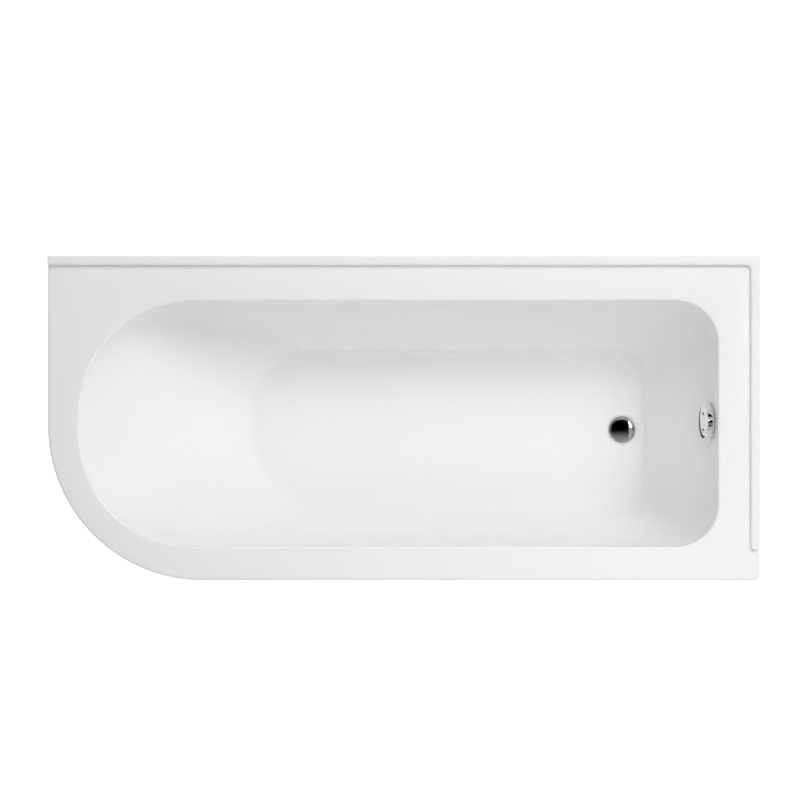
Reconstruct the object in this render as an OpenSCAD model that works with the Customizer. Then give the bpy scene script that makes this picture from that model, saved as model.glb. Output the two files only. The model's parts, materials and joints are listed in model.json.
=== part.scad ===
// Curved-corner shower bath: an acrylic basin on steel legs, with an upstand
// on the two wall sides, a curved panel and a turn-to-open waste.
// Millimetres. X runs towards the tap end, Y towards the long wall, Z up.
// The origin is on the floor, below the middle of the bath.

/* [Bath] */
// Overall length
bath_length = 1700; // [1550:10:1800]
// Overall width
bath_width = 775; // [740:5:850]
// Height of the rim above the floor
rim_height = 560; // [545:5:600]
// Depth of the basin, from the rim to the waste
basin_depth = 395; // [370:5:405]
// Radius of the curved corner at the head end
corner_r = 370; // [330:5:375]
// Radius of the small corner at the tap end
small_corner_r = 12; // [10:1:20]
// Radius of the two corners against the walls
wall_corner_r = 8; // [7:0.5:9]
// Thickness of the acrylic
shell_t = 5; // [4:0.5:5.5]
// Depth of the turned-down rim
rim_drop = 40; // [30:1:50]
// Radius along the outer edge of the rim
rim_edge_r = 6; // [6:0.5:6.5]

/* [Basin opening] */
// Deck width at the head end
deck_head = 74.5; // [70:0.5:90]
// Deck width at the tap end, up to the upstand
deck_tap = 76; // [70:0.5:100]
// Deck width at the front
deck_front = 80; // [74:0.5:95]
// Deck width at the back, up to the upstand
deck_back = 83.5; // [76:0.5:95]
// Radius of the round head end of the opening
head_r = 290; // [270:1:290]
// Radius of the two tap-end corners of the opening
tap_r = 102; // [80:1:130]
// Fullness of the head end, where 2 is a true circle
head_fullness = 2.15; // [2:0.01:2.2]
// Radius of the lip between the deck and the basin
lip_r = 9; // [8:0.5:11]

/* [Basin walls] */
// How far the backrest runs in, from the lip to the flat floor
backrest_run = 375; // [340:5:420]
// How far the tap-end wall runs in
tap_run = 134; // [125:1:170]
// How far the front wall runs in
front_run = 68; // [58:1:90]
// How far the back wall runs in
back_run = 110; // [90:1:130]
// Curve of the upright walls, where 1 is straight
wall_curve = 2.2; // [1.6:0.05:2.5]
// Curve of the backrest, where 1 is straight
backrest_curve = 1.15; // [1:0.05:1.4]
// Reach of the floor fillet at the upright walls
wall_fillet = 24; // [18:1:30]
// Reach of the floor fillet at the backrest
backrest_fillet = 24; // [18:1:60]
// Height of the floor fillet at the upright walls
fillet_height = 44; // [34:1:54]
// Height of the floor fillet at the backrest
backrest_fillet_height = 18; // [14:1:40]
// Corner radius of the floor, back of the head end
floor_back_head_r = 130; // [100:1:150]
// Corner radius of the floor, front of the head end
floor_front_head_r = 200; // [150:1:210]
// Corner radius of the floor at the tap end
floor_tap_r = 74; // [60:1:90]
// Fall of the floor from the head end to the waste
floor_fall = 6; // [3:1:10]

/* [Glass-fibre backing and boards] */
// Thickness of the glass-fibre backing
backing_t = 3; // [2:0.5:3.5]
// Thickness of the board under the floor, at its thin end
board_t = 18; // [15:1:22]
// Distance from the edge of the flat floor to the board
board_inset = 40; // [30:1:50]
// Distance from the waste to the end of the board
board_to_waste = 58; // [54:1:90]
// Width of the battens under the rim
batten_w = 30; // [26:1:32]
// Thickness of the battens under the rim
batten_t = 18; // [15:1:20]
// Distance from the edge of the bath to the battens
batten_inset = 27; // [25:1:29]

/* [Upstand] */
// Width of the upstand
upstand_w = 22; // [18:0.5:24]
// Height of the upstand above the deck
upstand_h = 14; // [10:1:30]
// Distance from the edge of the bath to the upstand
upstand_inset = 1.5; // [0.5:0.5:3]
// Inner corner radius of the upstand
upstand_inner_r = 12; // [8:1:16]
// Distance from the front of the bath to the end of the upstand
upstand_stop = 72; // [60:1:90]

/* [Panel] */
// Thickness of the curved panel
panel_t = 4; // [3:0.5:5]
// Distance from the edge of the rim to the panel
panel_inset = 7; // [6.5:0.5:8]
// Gap between the panel and the floor
panel_floor_gap = 3; // [2:1:6]
// Depth that the panel reaches up behind the rim
panel_overlap = 25; // [15:1:28]
// Width of the flange along the bottom of the panel
panel_flange_w = 24; // [18:1:30]
// Gap between the ends of the panel and the turned-down rim
panel_end_gap = 3; // [2:1:6]
// Height of the batten at the foot of the panel
foot_batten_h = 44; // [36:1:50]
// Thickness of the batten at the foot of the panel
foot_batten_t = 20; // [16:1:24]
// Number of clips along the straight of the panel
front_clips = 3; // [2:1:5]

/* [Legs] */
// Distance from the head end of the board to the leg near it
leg_head_inset = 80.5; // [60:0.5:180]
// Distance from the tap end of the board to the leg near it
leg_tap_inset = 84.5; // [65:0.5:200]
// Width of a leg channel
channel_w = 40; // [36:1:50]
// Height of a leg channel
channel_h = 28; // [26:1:34]
// Thickness of the leg steel
channel_t = 2.5; // [2:0.5:3]
// Distance from the front of the bath to the end of a leg
leg_front_gap = 86; // [80:1:100]
// Distance from the back of the bath to the end of a leg
leg_back_gap = 132; // [110:1:160]
// Distance from the end of a leg to its foot
foot_from_end = 26; // [22:1:40]
// Radius of a foot's threaded stud
stud_r = 6; // [5:0.5:6]
// Radius of a foot pad
pad_r = 25; // [20:1:30]
// Height of a foot pad
pad_h = 18; // [14:1:24]

/* [Waste] */
// Distance from the waste to the tap end of the flat floor
waste_from_tap = 47; // [46:1:60]
// Depth of the recess round the waste
waste_recess = 3; // [2:0.5:3.5]
// Radius of the hole for the waste
waste_hole_r = 26; // [25:0.5:27]
// Radius of the chrome flange
flange_r = 36; // [34:0.5:37]
// Radius of the waste's threaded sleeve
sleeve_r = 23.9; // [23:0.1:24.5]
// Radius of the plug
plug_r = 29.5; // [28:0.5:30]
// Height that the plug lifts
plug_lift = 10; // [8:0.5:11]
// Radius of the plug's stem
stem_r = 4; // [3:0.5:4.5]
// Length of the outlet thread
outlet_length = 30; // [20:1:40]

/* [Overflow] */
// Distance from the rim down to the overflow
overflow_drop = 85; // [80:1:110]
// Sideways position of the overflow
overflow_y = -10; // [-30:1:10]
// Radius of the hole for the overflow
overflow_hole_r = 26; // [25:0.5:28]
// Radius of the knob
knob_r = 44; // [38:1:46]
// Thickness of the knob
knob_t = 13; // [10:0.5:14]
// Gap between the knob and the wall of the basin
knob_gap = 6.5; // [5:0.5:8]
// Radius of the faceplate behind the knob
faceplate_r = 40; // [36:1:42]
// Radius of the knob's spindle
spindle_r = 4; // [3:0.5:5]

/* [Hose and cable] */
// Inner radius of the hose
hose_bore_r = 10.5; // [9.5:0.5:11]
// Radius of the hose between its ribs
hose_root_r = 12.4; // [12:0.1:12.6]
// Radius of the hose over its ribs
hose_crest_r = 14; // [13.5:0.5:14.5]
// Number of ribs on the hose
hose_ribs = 64; // [40:1:80]
// Radius of the cable
cable_r = 2.5; // [2:0.5:3]

/* [Hidden] */
$fn = 48;
// Gap between bonded or seated pieces, and radial gap of a running fit
seat_gap = 0.1;
running_gap = 0.08;
touch_gap = 0.3;
cut = 1;

acrylic = [0.96, 0.96, 0.96];
fibre = [0.86, 0.83, 0.66];
timber = [0.76, 0.6, 0.4];
steel = [0.66, 0.68, 0.7];
chrome = [0.85, 0.86, 0.88];
rubber = [0.15, 0.15, 0.15];
plastic = [0.92, 0.92, 0.9];
grey_plastic = [0.55, 0.56, 0.58];

// Heights
deck_z = rim_height;
lip_z = deck_z - lip_r;
floor_z = rim_height - basin_depth;
recess_z = floor_z - waste_recess;
recess_under_z = recess_z - shell_t;
floor_under_z = floor_z - shell_t - backing_t - seat_gap;
board_z = floor_under_z - board_t;
deck_under_z = deck_z - shell_t;
batten_z = deck_under_z - seat_gap - batten_t;
panel_top_z = deck_z - rim_drop + panel_overlap;

// Plan of the outer edge
half_l = bath_length / 2;
half_w = bath_width / 2;
corner_cx = corner_r - half_l;
corner_cy = corner_r - half_w;

// Plan of the basin opening and of the flat floor
open_x0 = deck_head - half_l;
open_x1 = half_l - upstand_inset - upstand_w - deck_tap;
open_y0 = deck_front - half_w;
open_y1 = half_w - upstand_inset - upstand_w - deck_back;
floor_x0 = open_x0 + backrest_run;
floor_x1 = open_x1 - tap_run;
floor_y0 = open_y0 + front_run;
floor_y1 = open_y1 - back_run;
waste_x = floor_x1 - waste_from_tap;
waste_y = (floor_y0 + floor_y1) / 2;
waste_step_r = flange_r + 5;
waste_rim_r = waste_step_r + 2.5;
fall_x = waste_x - waste_rim_r;

// Points on each stretch of an outline
long_steps = 7;
tap_steps = 9;
small_steps = 7;
round_steps = 14;
half_round_steps = round_steps / 2 - 1;
wall_levels = [0.1, 0.25, 0.4, 0.55, 0.7, 0.82];
fillet_steps = 4;
edge_steps = 3;

function mix(a, b, t) = a + (b - a) * t;
function unit(v) = v / norm(v);
function reversed(list) = [for (i = [len(list) - 1:-1:0]) list[i]];
function slice(list, a, b) = [for (i = [a:b]) list[i]];
function raise(ring, z) = [for (p = ring) [p[0], p[1], z]];
function bowed(v, e) = sign(v) * pow(abs(v), 2 / e);
function arc(cx, cy, r, a0, a1, n, e = 2) =
    [for (k = [0:n]) let (a = mix(a0, a1, k / n)) [cx + r * bowed(cos(a), e), cy + r * bowed(sin(a), e)]];
function side(p, q, shares) = [for (t = shares) mix(p, q, t)];

// The four corners are joined by straight sides, anticlockwise from the tap-end front corner.
// Points crowd towards the waste, so that it sees them about equally spaced all round.
tap_view = 70;
tap_shares = [for (k = [1:tap_steps - 1])
    0.5 + tan(mix(-tap_view, tap_view, k / tap_steps)) / (2 * tan(tap_view))];
back_shares = [for (k = [1:long_steps - 1]) pow(k / long_steps, 1.5)];
front_shares = [for (t = reversed(back_shares)) 1 - t];
function joined(fr, br, bl, fl) = concat(
    fr, side(fr[len(fr) - 1], br[0], tap_shares),
    br, side(br[len(br) - 1], bl[0], back_shares),
    bl, fl, side(fl[len(fl) - 1], fr[0], front_shares));

// The square corner of the rim faces the round head end of the basin, so its points are
// spread along both sides by rays from the middle of that round, and three round the corner.
ray_cy = corner_cy + 9;
ray_a = corner_r;
ray_b = half_w - ray_cy;
ray_corner = atan2(ray_b, ray_a);
ray_spread = 0.7;
function ray_angles() = concat(
    [for (k = [0:half_round_steps - 1]) mix(90, ray_corner + ray_spread, k / half_round_steps)],
    [ray_corner + ray_spread, ray_corner, ray_corner - ray_spread],
    [for (k = [1:half_round_steps]) mix(ray_corner - ray_spread, 0, k / half_round_steps)]);
function ray_hit(a, b, r, u) =
    a * u[1] <= (b - r) * u[0] ? [a, a * u[1] / u[0]] :
    b * u[0] <= (a - r) * u[1] ? [b * u[0] / u[1], b] :
    let (c = [a - r, b - r], along = u * c) u * (along + sqrt(along * along - c * c + r * r));
function ray_corner_points(inset) =
    [for (a = ray_angles())
        let (p = ray_hit(ray_a - inset, ray_b - inset, wall_corner_r - inset, [cos(a), sin(a)]))
        [corner_cx - p[0], ray_cy + p[1]]];

// Outer edge of the bath, set in by a distance
function edge_outline(inset) = joined(
    arc(half_l - small_corner_r, small_corner_r - half_w, small_corner_r - inset, -90, 0, small_steps),
    arc(half_l - wall_corner_r, half_w - wall_corner_r, wall_corner_r - inset, 0, 90, small_steps),
    ray_corner_points(inset),
    arc(corner_cx, corner_cy, corner_r - inset, 180, 270, round_steps));

// Basin opening, set out by a distance
function open_outline(outset) = joined(
    arc(open_x1 - tap_r, open_y0 + tap_r, tap_r + outset, -90, 0, small_steps),
    arc(open_x1 - tap_r, open_y1 - tap_r, tap_r + outset, 0, 90, small_steps),
    arc(open_x0 + head_r, open_y1 - head_r, head_r + outset, 90, 180, round_steps, head_fullness),
    arc(open_x0 + head_r, open_y0 + head_r, head_r + outset, 180, 270, round_steps, head_fullness));

// Edge of the flat floor
function floor_outline() = joined(
    arc(floor_x1 - floor_tap_r, floor_y0 + floor_tap_r, floor_tap_r, -90, 0, small_steps),
    arc(floor_x1 - floor_tap_r, floor_y1 - floor_tap_r, floor_tap_r, 0, 90, small_steps),
    arc(floor_x0 + floor_back_head_r, floor_y1 - floor_back_head_r, floor_back_head_r, 90, 180, round_steps),
    arc(floor_x0 + floor_front_head_r, floor_y0 + floor_front_head_r, floor_front_head_r,
        180, 270, round_steps));

open_ring = open_outline(0);
floor_ring = floor_outline();
points_round = len(open_ring);

// 1 at the middle of the backrest, falling to 0 where the round head end meets the straight sides
function backrest_share(j) = pow(max(0, open_x0 + head_r - open_ring[j][0]) / head_r, 2);
function floor_level(p) = floor_z + floor_fall * max(0, fall_x - p[0]) / (fall_x - floor_x0);

// One point of the basin wall, a share h of the way in and a share g of the way down
function wall_point(j, h, g) =
    let (p = mix(open_ring[j], floor_ring[j], h), low = floor_level(floor_ring[j]))
    [p[0], p[1], mix(lip_z, low, g)];
function wall_power(j) = mix(wall_curve, backrest_curve, backrest_share(j));
function wall_foot(j) = 1 - mix(wall_fillet, backrest_fillet, backrest_share(j)) / norm(floor_ring[j] - open_ring[j]);
function fillet_g(j) = 1 - mix(fillet_height, backrest_fillet_height, backrest_share(j)) / (lip_z - floor_z);
function wall_h(j, g) = wall_foot(j) * pow(g, wall_power(j));
function wall_ring(g) = [for (j = [0:points_round - 1]) wall_point(j, wall_h(j, g), g)];
function fillet_ring(u) = [for (j = [0:points_round - 1])
    let (g0 = fillet_g(j),
        h0 = wall_h(j, g0),
        slope = wall_power(j) * h0 / g0,
        h1 = h0 + slope * (1 - g0),
        h = (1 - u) * (1 - u) * h0 + 2 * u * (1 - u) * h1 + u * u,
        g = (1 - u) * (1 - u) * g0 + (2 - u) * u)
    wall_point(j, h, g)];
function waste_ring(r, z) = [for (p = floor_ring)
    let (u = unit(p - [waste_x, waste_y])) [waste_x + r * u[0], waste_y + r * u[1], z]];

// The upper face of the acrylic, from the foot of the rim to the waste
basin_top = concat(
    [raise(edge_outline(0), deck_z - rim_drop)],
    [for (k = [0:edge_steps]) let (a = 90 * k / edge_steps)
        raise(edge_outline(rim_edge_r * (1 - cos(a))), deck_z - rim_edge_r * (1 - sin(a)))],
    [for (k = [0:edge_steps]) let (a = 90 * k / edge_steps)
        raise(open_outline(lip_r * (1 - sin(a))), deck_z - lip_r * (1 - cos(a)))],
    [for (g = wall_levels) wall_ring(g)],
    [for (k = [0:fillet_steps]) fillet_ring(k / fillet_steps)],
    [waste_ring(waste_rim_r, floor_z), waste_ring(waste_step_r, floor_z),
        waste_ring(waste_step_r - waste_recess, recess_z), waste_ring(flange_r + 1, recess_z),
        waste_ring(waste_hole_r - 6, recess_z)]);
first_wall = edge_steps + edge_steps + 2;
last_floor = len(basin_top) - 5;

// The same face moved to its other side by a thickness, square to the surface
function face_normal(i, j) =
    let (n = points_round, last = len(basin_top) - 1,
        around = basin_top[i][(j + 1) % n] - basin_top[i][(j + n - 1) % n],
        inward = basin_top[min(i + 1, last)][j] - basin_top[max(i - 1, 0)][j])
    unit(cross(around, inward));
function thickened(t) = [for (i = [0:len(basin_top) - 1])
    [for (j = [0:points_round - 1]) basin_top[i][j] - t * face_normal(i, j)]];

// A closed skin through rings that return to the first, as round a tyre. Two skins that lie
// face to face have their facets split alike when one of them has its rings listed backwards
// or takes the other diagonal.
module ring_loft(rings, other_diagonal = false) {
    n = len(rings[0]);
    m = len(rings);
    polyhedron(
        points = [for (ring = rings) each ring],
        faces = [for (i = [0:m - 1], j = [0:n - 1])
            let (a = i * n + j, b = i * n + (j + 1) % n,
                c = ((i + 1) % m) * n + (j + 1) % n, d = ((i + 1) % m) * n + j)
            each other_diagonal ? [[a, d, b], [b, d, c]] : [[a, d, c], [a, c, b]]],
        convexity = 10);
}

// A solid through rings, closed by a flat cap at each end
module capped_loft(rings) {
    n = len(rings[0]);
    m = len(rings);
    polyhedron(
        points = [for (ring = rings) each ring],
        faces = concat(
            [for (i = [0:m - 2], j = [0:n - 1])
                let (a = i * n + j, b = i * n + (j + 1) % n,
                    c = (i + 1) * n + (j + 1) % n, d = (i + 1) * n + j)
                each [[a, d, c], [a, c, b]]],
            [[for (j = [0:n - 1]) j]],
            [[for (j = [n - 1:-1:0]) (m - 1) * n + j]]),
        convexity = 10);
}

// Overflow axis: square to the tap-end wall, with local Z into the basin and local X up the wall
overflow_z = rim_height - overflow_drop;
overflow_g = (lip_z - overflow_z) / (lip_z - floor_z);
tap_foot = tap_run - wall_fillet;
overflow_x = open_x1 - tap_foot * pow(overflow_g, wall_curve);
overflow_tilt = atan(wall_curve * tap_foot * pow(overflow_g, wall_curve - 1) / (lip_z - floor_z));
module at_overflow(z = 0) {
    translate([overflow_x, overflow_y, overflow_z])
        rotate([0, overflow_tilt - 90, 0])
            translate([0, 0, z])
                children();
}

overflow_seat_depth = 0.4;
overflow_pad_r = knob_r;
overflow_pad_t = 8;
overflow_seat_r = knob_r + 1;

module bath_shell() {
    color(acrylic)
    difference() {
        union() {
            ring_loft(concat(basin_top, reversed(thickened(shell_t))));
            at_overflow(-overflow_pad_t)
                cylinder(r = overflow_pad_r, h = overflow_pad_t - 1.5);
        }
        translate([waste_x, waste_y, recess_under_z - cut])
            cylinder(r = waste_hole_r, h = shell_t + 2 * cut);
        at_overflow(-overflow_pad_t - cut)
            cylinder(r = overflow_hole_r, h = overflow_pad_t + 3 * cut);
        at_overflow(-overflow_seat_depth)
            cylinder(r = overflow_seat_r, h = 10 * cut);
    }
}

module glassfibre_backing() {
    inner = slice(thickened(shell_t + seat_gap), first_wall, last_floor);
    outer = slice(thickened(shell_t + seat_gap + backing_t), first_wall, last_floor);
    color(fibre)
    difference() {
        ring_loft(concat(inner, reversed(outer)), true);
        at_overflow(-8 * overflow_pad_t)
            cylinder(r = overflow_pad_r + 5, h = 9 * overflow_pad_t);
    }
}

panel_back_y = panel_inset + panel_t - half_w;
// Region inside the outline of the bath, set in by a distance and run on past the walls
module plan_area(inset, past) {
    x1 = half_l - shell_t - panel_end_gap + past;
    y1 = half_w - shell_t - panel_end_gap + past;
    translate([inset - half_l, corner_cy])
        square([x1 - inset + half_l, y1 - corner_cy]);
    translate([corner_cx, inset - half_w])
        square([x1 - corner_cx, y1 - inset + half_w]);
    translate([corner_cx, corner_cy])
        intersection() {
            circle(r = corner_r - inset, $fn = 144);
            translate([-corner_r, -corner_r])
                square(corner_r);
        }
}

// Strip that follows the front and the curved corner from wall to wall
module plan_band(inset, width) {
    difference() {
        plan_area(inset, 0);
        plan_area(inset + width, cut);
    }
}

module front_panel() {
    color(acrylic)
    difference() {
        union() {
            translate([0, 0, panel_floor_gap])
                linear_extrude(panel_top_z - panel_floor_gap)
                    plan_band(panel_inset, panel_t);
            translate([0, 0, panel_floor_gap])
                linear_extrude(panel_t)
                    plan_band(panel_inset, panel_flange_w);
        }
        for (x = panel_screw_x)
            translate([x, panel_inset - half_w - cut, panel_screw_z])
                rotate([-90, 0, 0])
                    cylinder(r = wood_screw_r + seat_gap, h = panel_t + 2 * cut);
    }
}

foot_batten_z = panel_floor_gap + panel_t + seat_gap;
foot_batten_x0 = corner_cx + 20;
foot_batten_x1 = half_l - 40;
panel_screw_inset = 60;
panel_screw_x = [foot_batten_x0 + panel_screw_inset, (foot_batten_x0 + foot_batten_x1) / 2,
    foot_batten_x1 - panel_screw_inset];
panel_screw_z = foot_batten_z + foot_batten_h / 2;
wood_screw_r = 2.2;
module panel_foot_batten() {
    color(timber)
    difference() {
        translate([foot_batten_x0, panel_back_y + seat_gap, foot_batten_z])
            cube([foot_batten_x1 - foot_batten_x0, foot_batten_t, foot_batten_h]);
        for (x = panel_screw_x)
            translate([x, panel_back_y, panel_screw_z])
                rotate([-90, 0, 0])
                    cylinder(r = wood_screw_r + seat_gap, h = foot_batten_t - 3);
    }
}

// Beads that the upstand's two edges follow along the wall
function upstand_edge(set_in, r) =
    let (x = half_l - upstand_inset - set_in, y = half_w - upstand_inset - set_in)
    [for (k = [0:6]) let (a = 90 - 15 * k) [x - r + r * cos(a), y - r + r * sin(a)]];
upstand_profile = [[0, 0], [0, 0.72], [0.07, 0.88], [0.2, 0.97], [0.4, 1], [0.6, 1], [0.8, 0.96], [0.93, 0.86],
    [1, 0.68], [1, 0]];
upstand_round_r = wall_corner_r - upstand_inset;
upstand_taper = 5;
module wall_upstand() {
    outer = upstand_edge(0, upstand_round_r);
    inner = upstand_edge(upstand_w, upstand_inner_r);
    x0 = upstand_inset - half_l;
    y_end = upstand_stop - half_w;
    half = upstand_w / 2;
    mid_x = (outer[6][0] + inner[6][0]) / 2;
    head_end = [for (t = [[0, 0.8], [0.4, 0.96], [1, 1]]) let (x = x0 + upstand_taper * t[0])
        [[x, outer[0][1]], [x, inner[0][1]], t[1]]];
    tap_end = [for (a = [90:-15:15])
        [[mid_x + half * sin(a), y_end + half * (1 - cos(a))], [mid_x - half * sin(a), y_end + half * (1 - cos(a))],
            0.6 + 0.4 * sin(a)]];
    corner = [for (k = [0:6]) [outer[k], inner[k], 1]];
    stations = concat(head_end, corner, tap_end);
    color(acrylic)
    capped_loft([for (s = stations)
        [for (p = reversed(upstand_profile)) let (q = mix(s[0], s[1], p[0]))
            [q[0], q[1], deck_z + seat_gap + upstand_h * p[1] * s[2]]]]);
}

// Board bedded under the flat floor, thicker towards the head end where the floor is higher
board_x0 = floor_x0 + board_inset / 2;
board_x1 = waste_x - board_to_waste;
board_y0 = floor_y0 + board_inset;
board_y1 = floor_y1 - board_inset;
leg_head_x = board_x0 + leg_head_inset;
leg_tap_x = board_x1 - leg_tap_inset;
leg_screw_inset = 50;
leg_screw_y = [board_y0 + leg_screw_inset, (board_y0 + board_y1) / 2, board_y1 - leg_screw_inset];
leg_x = [leg_head_x, leg_tap_x];
leg_screw_depth = board_t - 4;
module base_board() {
    function top_z(x) = floor_level([x, 0]) - floor_z + floor_under_z - seat_gap;
    color(timber)
    difference() {
        translate([0, board_y1, 0])
            rotate([90, 0, 0])
                linear_extrude(board_y1 - board_y0)
                    polygon([[board_x0, board_z], [board_x1, board_z], [board_x1, top_z(board_x1)],
                        [board_x0, top_z(board_x0)]]);
        for (x = leg_x, y = leg_screw_y)
            translate([x, y, board_z - cut])
                cylinder(r = wood_screw_r + seat_gap, h = leg_screw_depth + cut + seat_gap);
    }
}

// Battens bonded under the rim
batten_mid = batten_inset + batten_w / 2;
batten_end_gap = 5;
module batten_box(x0, x1, y0, y1, holes) {
    color(timber)
    difference() {
        translate([x0, y0, batten_z])
            cube([x1 - x0, y1 - y0, batten_t]);
        for (p = holes)
            translate([p[0], p[1], batten_z - cut])
                cylinder(r = wood_screw_r + seat_gap, h = batten_screw_depth + cut + seat_gap);
    }
}
batten_screw_depth = batten_t - 4;
clip_from_corner = 90;
clip_from_end = 130;
clip_front_x = [for (k = [0:front_clips - 1])
    mix(corner_cx + clip_from_corner, half_l - clip_from_end, front_clips > 1 ? k / (front_clips - 1) : 0.5)];
clip_corner_a = 225;
clip_head_y = mix(corner_cy, half_w, 0.5);
bracket_x = [mix(-half_l, half_l, 0.25), mix(-half_l, half_l, 0.75)];
bracket_screw_y = half_w - batten_mid;

module rim_batten_front() {
    batten_box(corner_cx + batten_end_gap, half_l - batten_inset - batten_w - batten_end_gap,
        batten_inset - half_w, batten_inset + batten_w - half_w,
        [for (x = clip_front_x) [x, batten_mid - half_w]]);
}
module rim_batten_back() {
    batten_box(batten_inset - half_l, half_l - batten_inset,
        half_w - batten_inset - batten_w, half_w - batten_inset,
        [for (x = bracket_x) [x, bracket_screw_y]]);
}
module rim_batten_tap() {
    batten_box(half_l - batten_inset - batten_w, half_l - batten_inset,
        batten_inset + batten_end_gap - half_w, half_w - batten_inset - batten_w - batten_end_gap, []);
}
module rim_batten_head() {
    batten_box(batten_inset - half_l, batten_inset + batten_w - half_l,
        corner_cy + batten_end_gap, half_w - batten_inset - batten_w - batten_end_gap,
        [[batten_mid - half_l, clip_head_y]]);
}
module rim_batten_corner() {
    color(timber)
    difference() {
        translate([corner_cx, corner_cy, batten_z])
            rotate([0, 0, 181])
                rotate_extrude(angle = 88, $fn = 96)
                    translate([corner_r - batten_inset - batten_w, 0])
                        square([batten_w, batten_t]);
        translate([corner_cx, corner_cy, batten_z - cut])
            rotate([0, 0, clip_corner_a])
                translate([corner_r - batten_mid, 0, 0])
                    cylinder(r = wood_screw_r + seat_gap, h = batten_screw_depth + cut + seat_gap);
    }
}

// A place on the inner face of the panel, with local Y pointing in under the bath
module at_clips() {
    for (x = clip_front_x)
        translate([x, panel_back_y, 0])
            children();
    translate([corner_cx, corner_cy, 0])
        rotate([0, 0, clip_corner_a])
            translate([corner_r - panel_inset - panel_t, 0, 0])
                rotate([0, 0, 90])
                    children();
    translate([panel_inset + panel_t - half_l, clip_head_y, 0])
        rotate([0, 0, -90])
            children();
}
clip_w = 30;
clip_t = 3;
clip_drop = 34;
clip_reach = batten_mid - panel_inset - panel_t;
clip_gap = 0.6;
module panel_clips() {
    color(plastic)
    at_clips()
        difference() {
            union() {
                translate([-clip_w / 2, clip_gap, batten_z - clip_drop])
                    cube([clip_w, clip_t, clip_drop - seat_gap]);
                translate([-clip_w / 2, clip_gap, batten_z - seat_gap - clip_t])
                    cube([clip_w, clip_reach + 8, clip_t]);
                translate([-clip_t / 2, clip_gap + clip_t / 2, batten_z - seat_gap - clip_t])
                    rotate([0, 90, 0])
                        linear_extrude(clip_t)
                            polygon([[-clip_t / 2, 0], [16, 0], [-clip_t / 2, 16]]);
            }
            translate([0, clip_reach, batten_z - clip_t - cut])
                cylinder(r = wood_screw_r + seat_gap, h = clip_t + 2 * cut);
        }
}

// Pan-head screw with its shank along +Z from under the head
module pan_screw(r, length, head_r, head_h) {
    difference() {
        union() {
            cylinder(r = r, h = length);
            translate([0, 0, -head_h])
                cylinder(r = head_r, h = head_h);
        }
        for (a = [0, 90])
            rotate([0, 0, a])
                translate([-head_r * 0.6, -0.4, -head_h - cut])
                    cube([head_r * 1.2, 0.8, head_h / 2 + cut]);
    }
}
screw_head_r = 4.2;
screw_head_h = 2.4;
module panel_clip_screws() {
    color(steel)
    at_clips()
        translate([0, clip_reach, batten_z - 2 * seat_gap - clip_t])
            pan_screw(wood_screw_r, clip_t + batten_screw_depth, screw_head_r, screw_head_h);
}

panel_cap_r = 7;
panel_cap_t = 2.5;
module panel_screws() {
    color(chrome)
    for (x = panel_screw_x)
        translate([x, panel_inset - half_w - seat_gap, panel_screw_z])
            rotate([-90, 0, 0]) {
                cylinder(r = wood_screw_r, h = panel_t + foot_batten_t - 6);
                translate([0, 0, -panel_cap_t])
                    cylinder(r1 = panel_cap_r - 1.5, r2 = panel_cap_r, h = panel_cap_t);
            }
}

// Legs: an upside-down channel, screwed up into the board
leg_y0 = leg_front_gap - half_w;
leg_y1 = half_w - leg_back_gap;
foot_y = [leg_y1 - foot_from_end, leg_y0 + foot_from_end];
leg_top_z = board_z - seat_gap;
stud_clear = 1;
module leg_channel(x) {
    screw_z = leg_top_z - channel_t - cut;
    color(steel)
    difference() {
        translate([x - channel_w / 2, leg_y0, leg_top_z - channel_h])
            cube([channel_w, leg_y1 - leg_y0, channel_h]);
        translate([x - channel_w / 2 + channel_t, leg_y0 - cut, leg_top_z - channel_h - cut])
            cube([channel_w - 2 * channel_t, leg_y1 - leg_y0 + 2 * cut, channel_h - channel_t + cut]);
        for (y = foot_y)
            translate([x, y, screw_z])
                cylinder(r = stud_r + stud_clear, h = channel_t + 2 * cut);
        for (y = leg_screw_y)
            translate([x, y, screw_z])
                cylinder(r = wood_screw_r + seat_gap, h = channel_t + 2 * cut);
        translate([x, leg_y0 + panel_bracket_bolt, screw_z])
            cylinder(r = bracket_bolt_r + seat_gap, h = channel_t + 2 * cut);
    }
}
module leg_channel_head() { leg_channel(leg_head_x); }
module leg_channel_tap() { leg_channel(leg_tap_x); }

module leg_screws() {
    color(steel)
    for (x = leg_x, y = leg_screw_y)
        translate([x, y, leg_top_z - channel_t - seat_gap])
            pan_screw(wood_screw_r, channel_t + leg_screw_depth, screw_head_r, screw_head_h);
}

// Steel straps from the front of each leg to the batten at the foot of the panel
bracket_w = 24;
bracket_t = 2.5;
bracket_bolt_r = 2.5;
panel_bracket_bolt = 8;
strap_y0 = panel_back_y + 2 * seat_gap + foot_batten_t;
strap_top_z = leg_top_z - channel_t - seat_gap;
module panel_brackets() {
    reach = leg_y0 + panel_bracket_bolt + 7 - strap_y0;
    color(steel)
    for (x = leg_x)
        difference() {
            union() {
                translate([x - bracket_w / 2, strap_y0, strap_top_z - bracket_t])
                    cube([bracket_w, reach, bracket_t]);
                translate([x - bracket_w / 2, strap_y0, foot_batten_z + 4])
                    cube([bracket_w, bracket_t, strap_top_z - foot_batten_z - 4]);
            }
            translate([x, leg_y0 + panel_bracket_bolt, strap_top_z - bracket_t - cut])
                cylinder(r = bracket_bolt_r + seat_gap, h = bracket_t + 2 * cut);
        }
}
module bracket_bolts() {
    color(steel)
    for (x = leg_x)
        translate([x, leg_y0 + panel_bracket_bolt, strap_top_z - bracket_t - seat_gap]) {
            translate([0, 0, -3])
                cylinder(r = 5, h = 3, $fn = 6);
            cylinder(r = bracket_bolt_r, h = bracket_t + channel_t + 0.5);
        }
}

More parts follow.
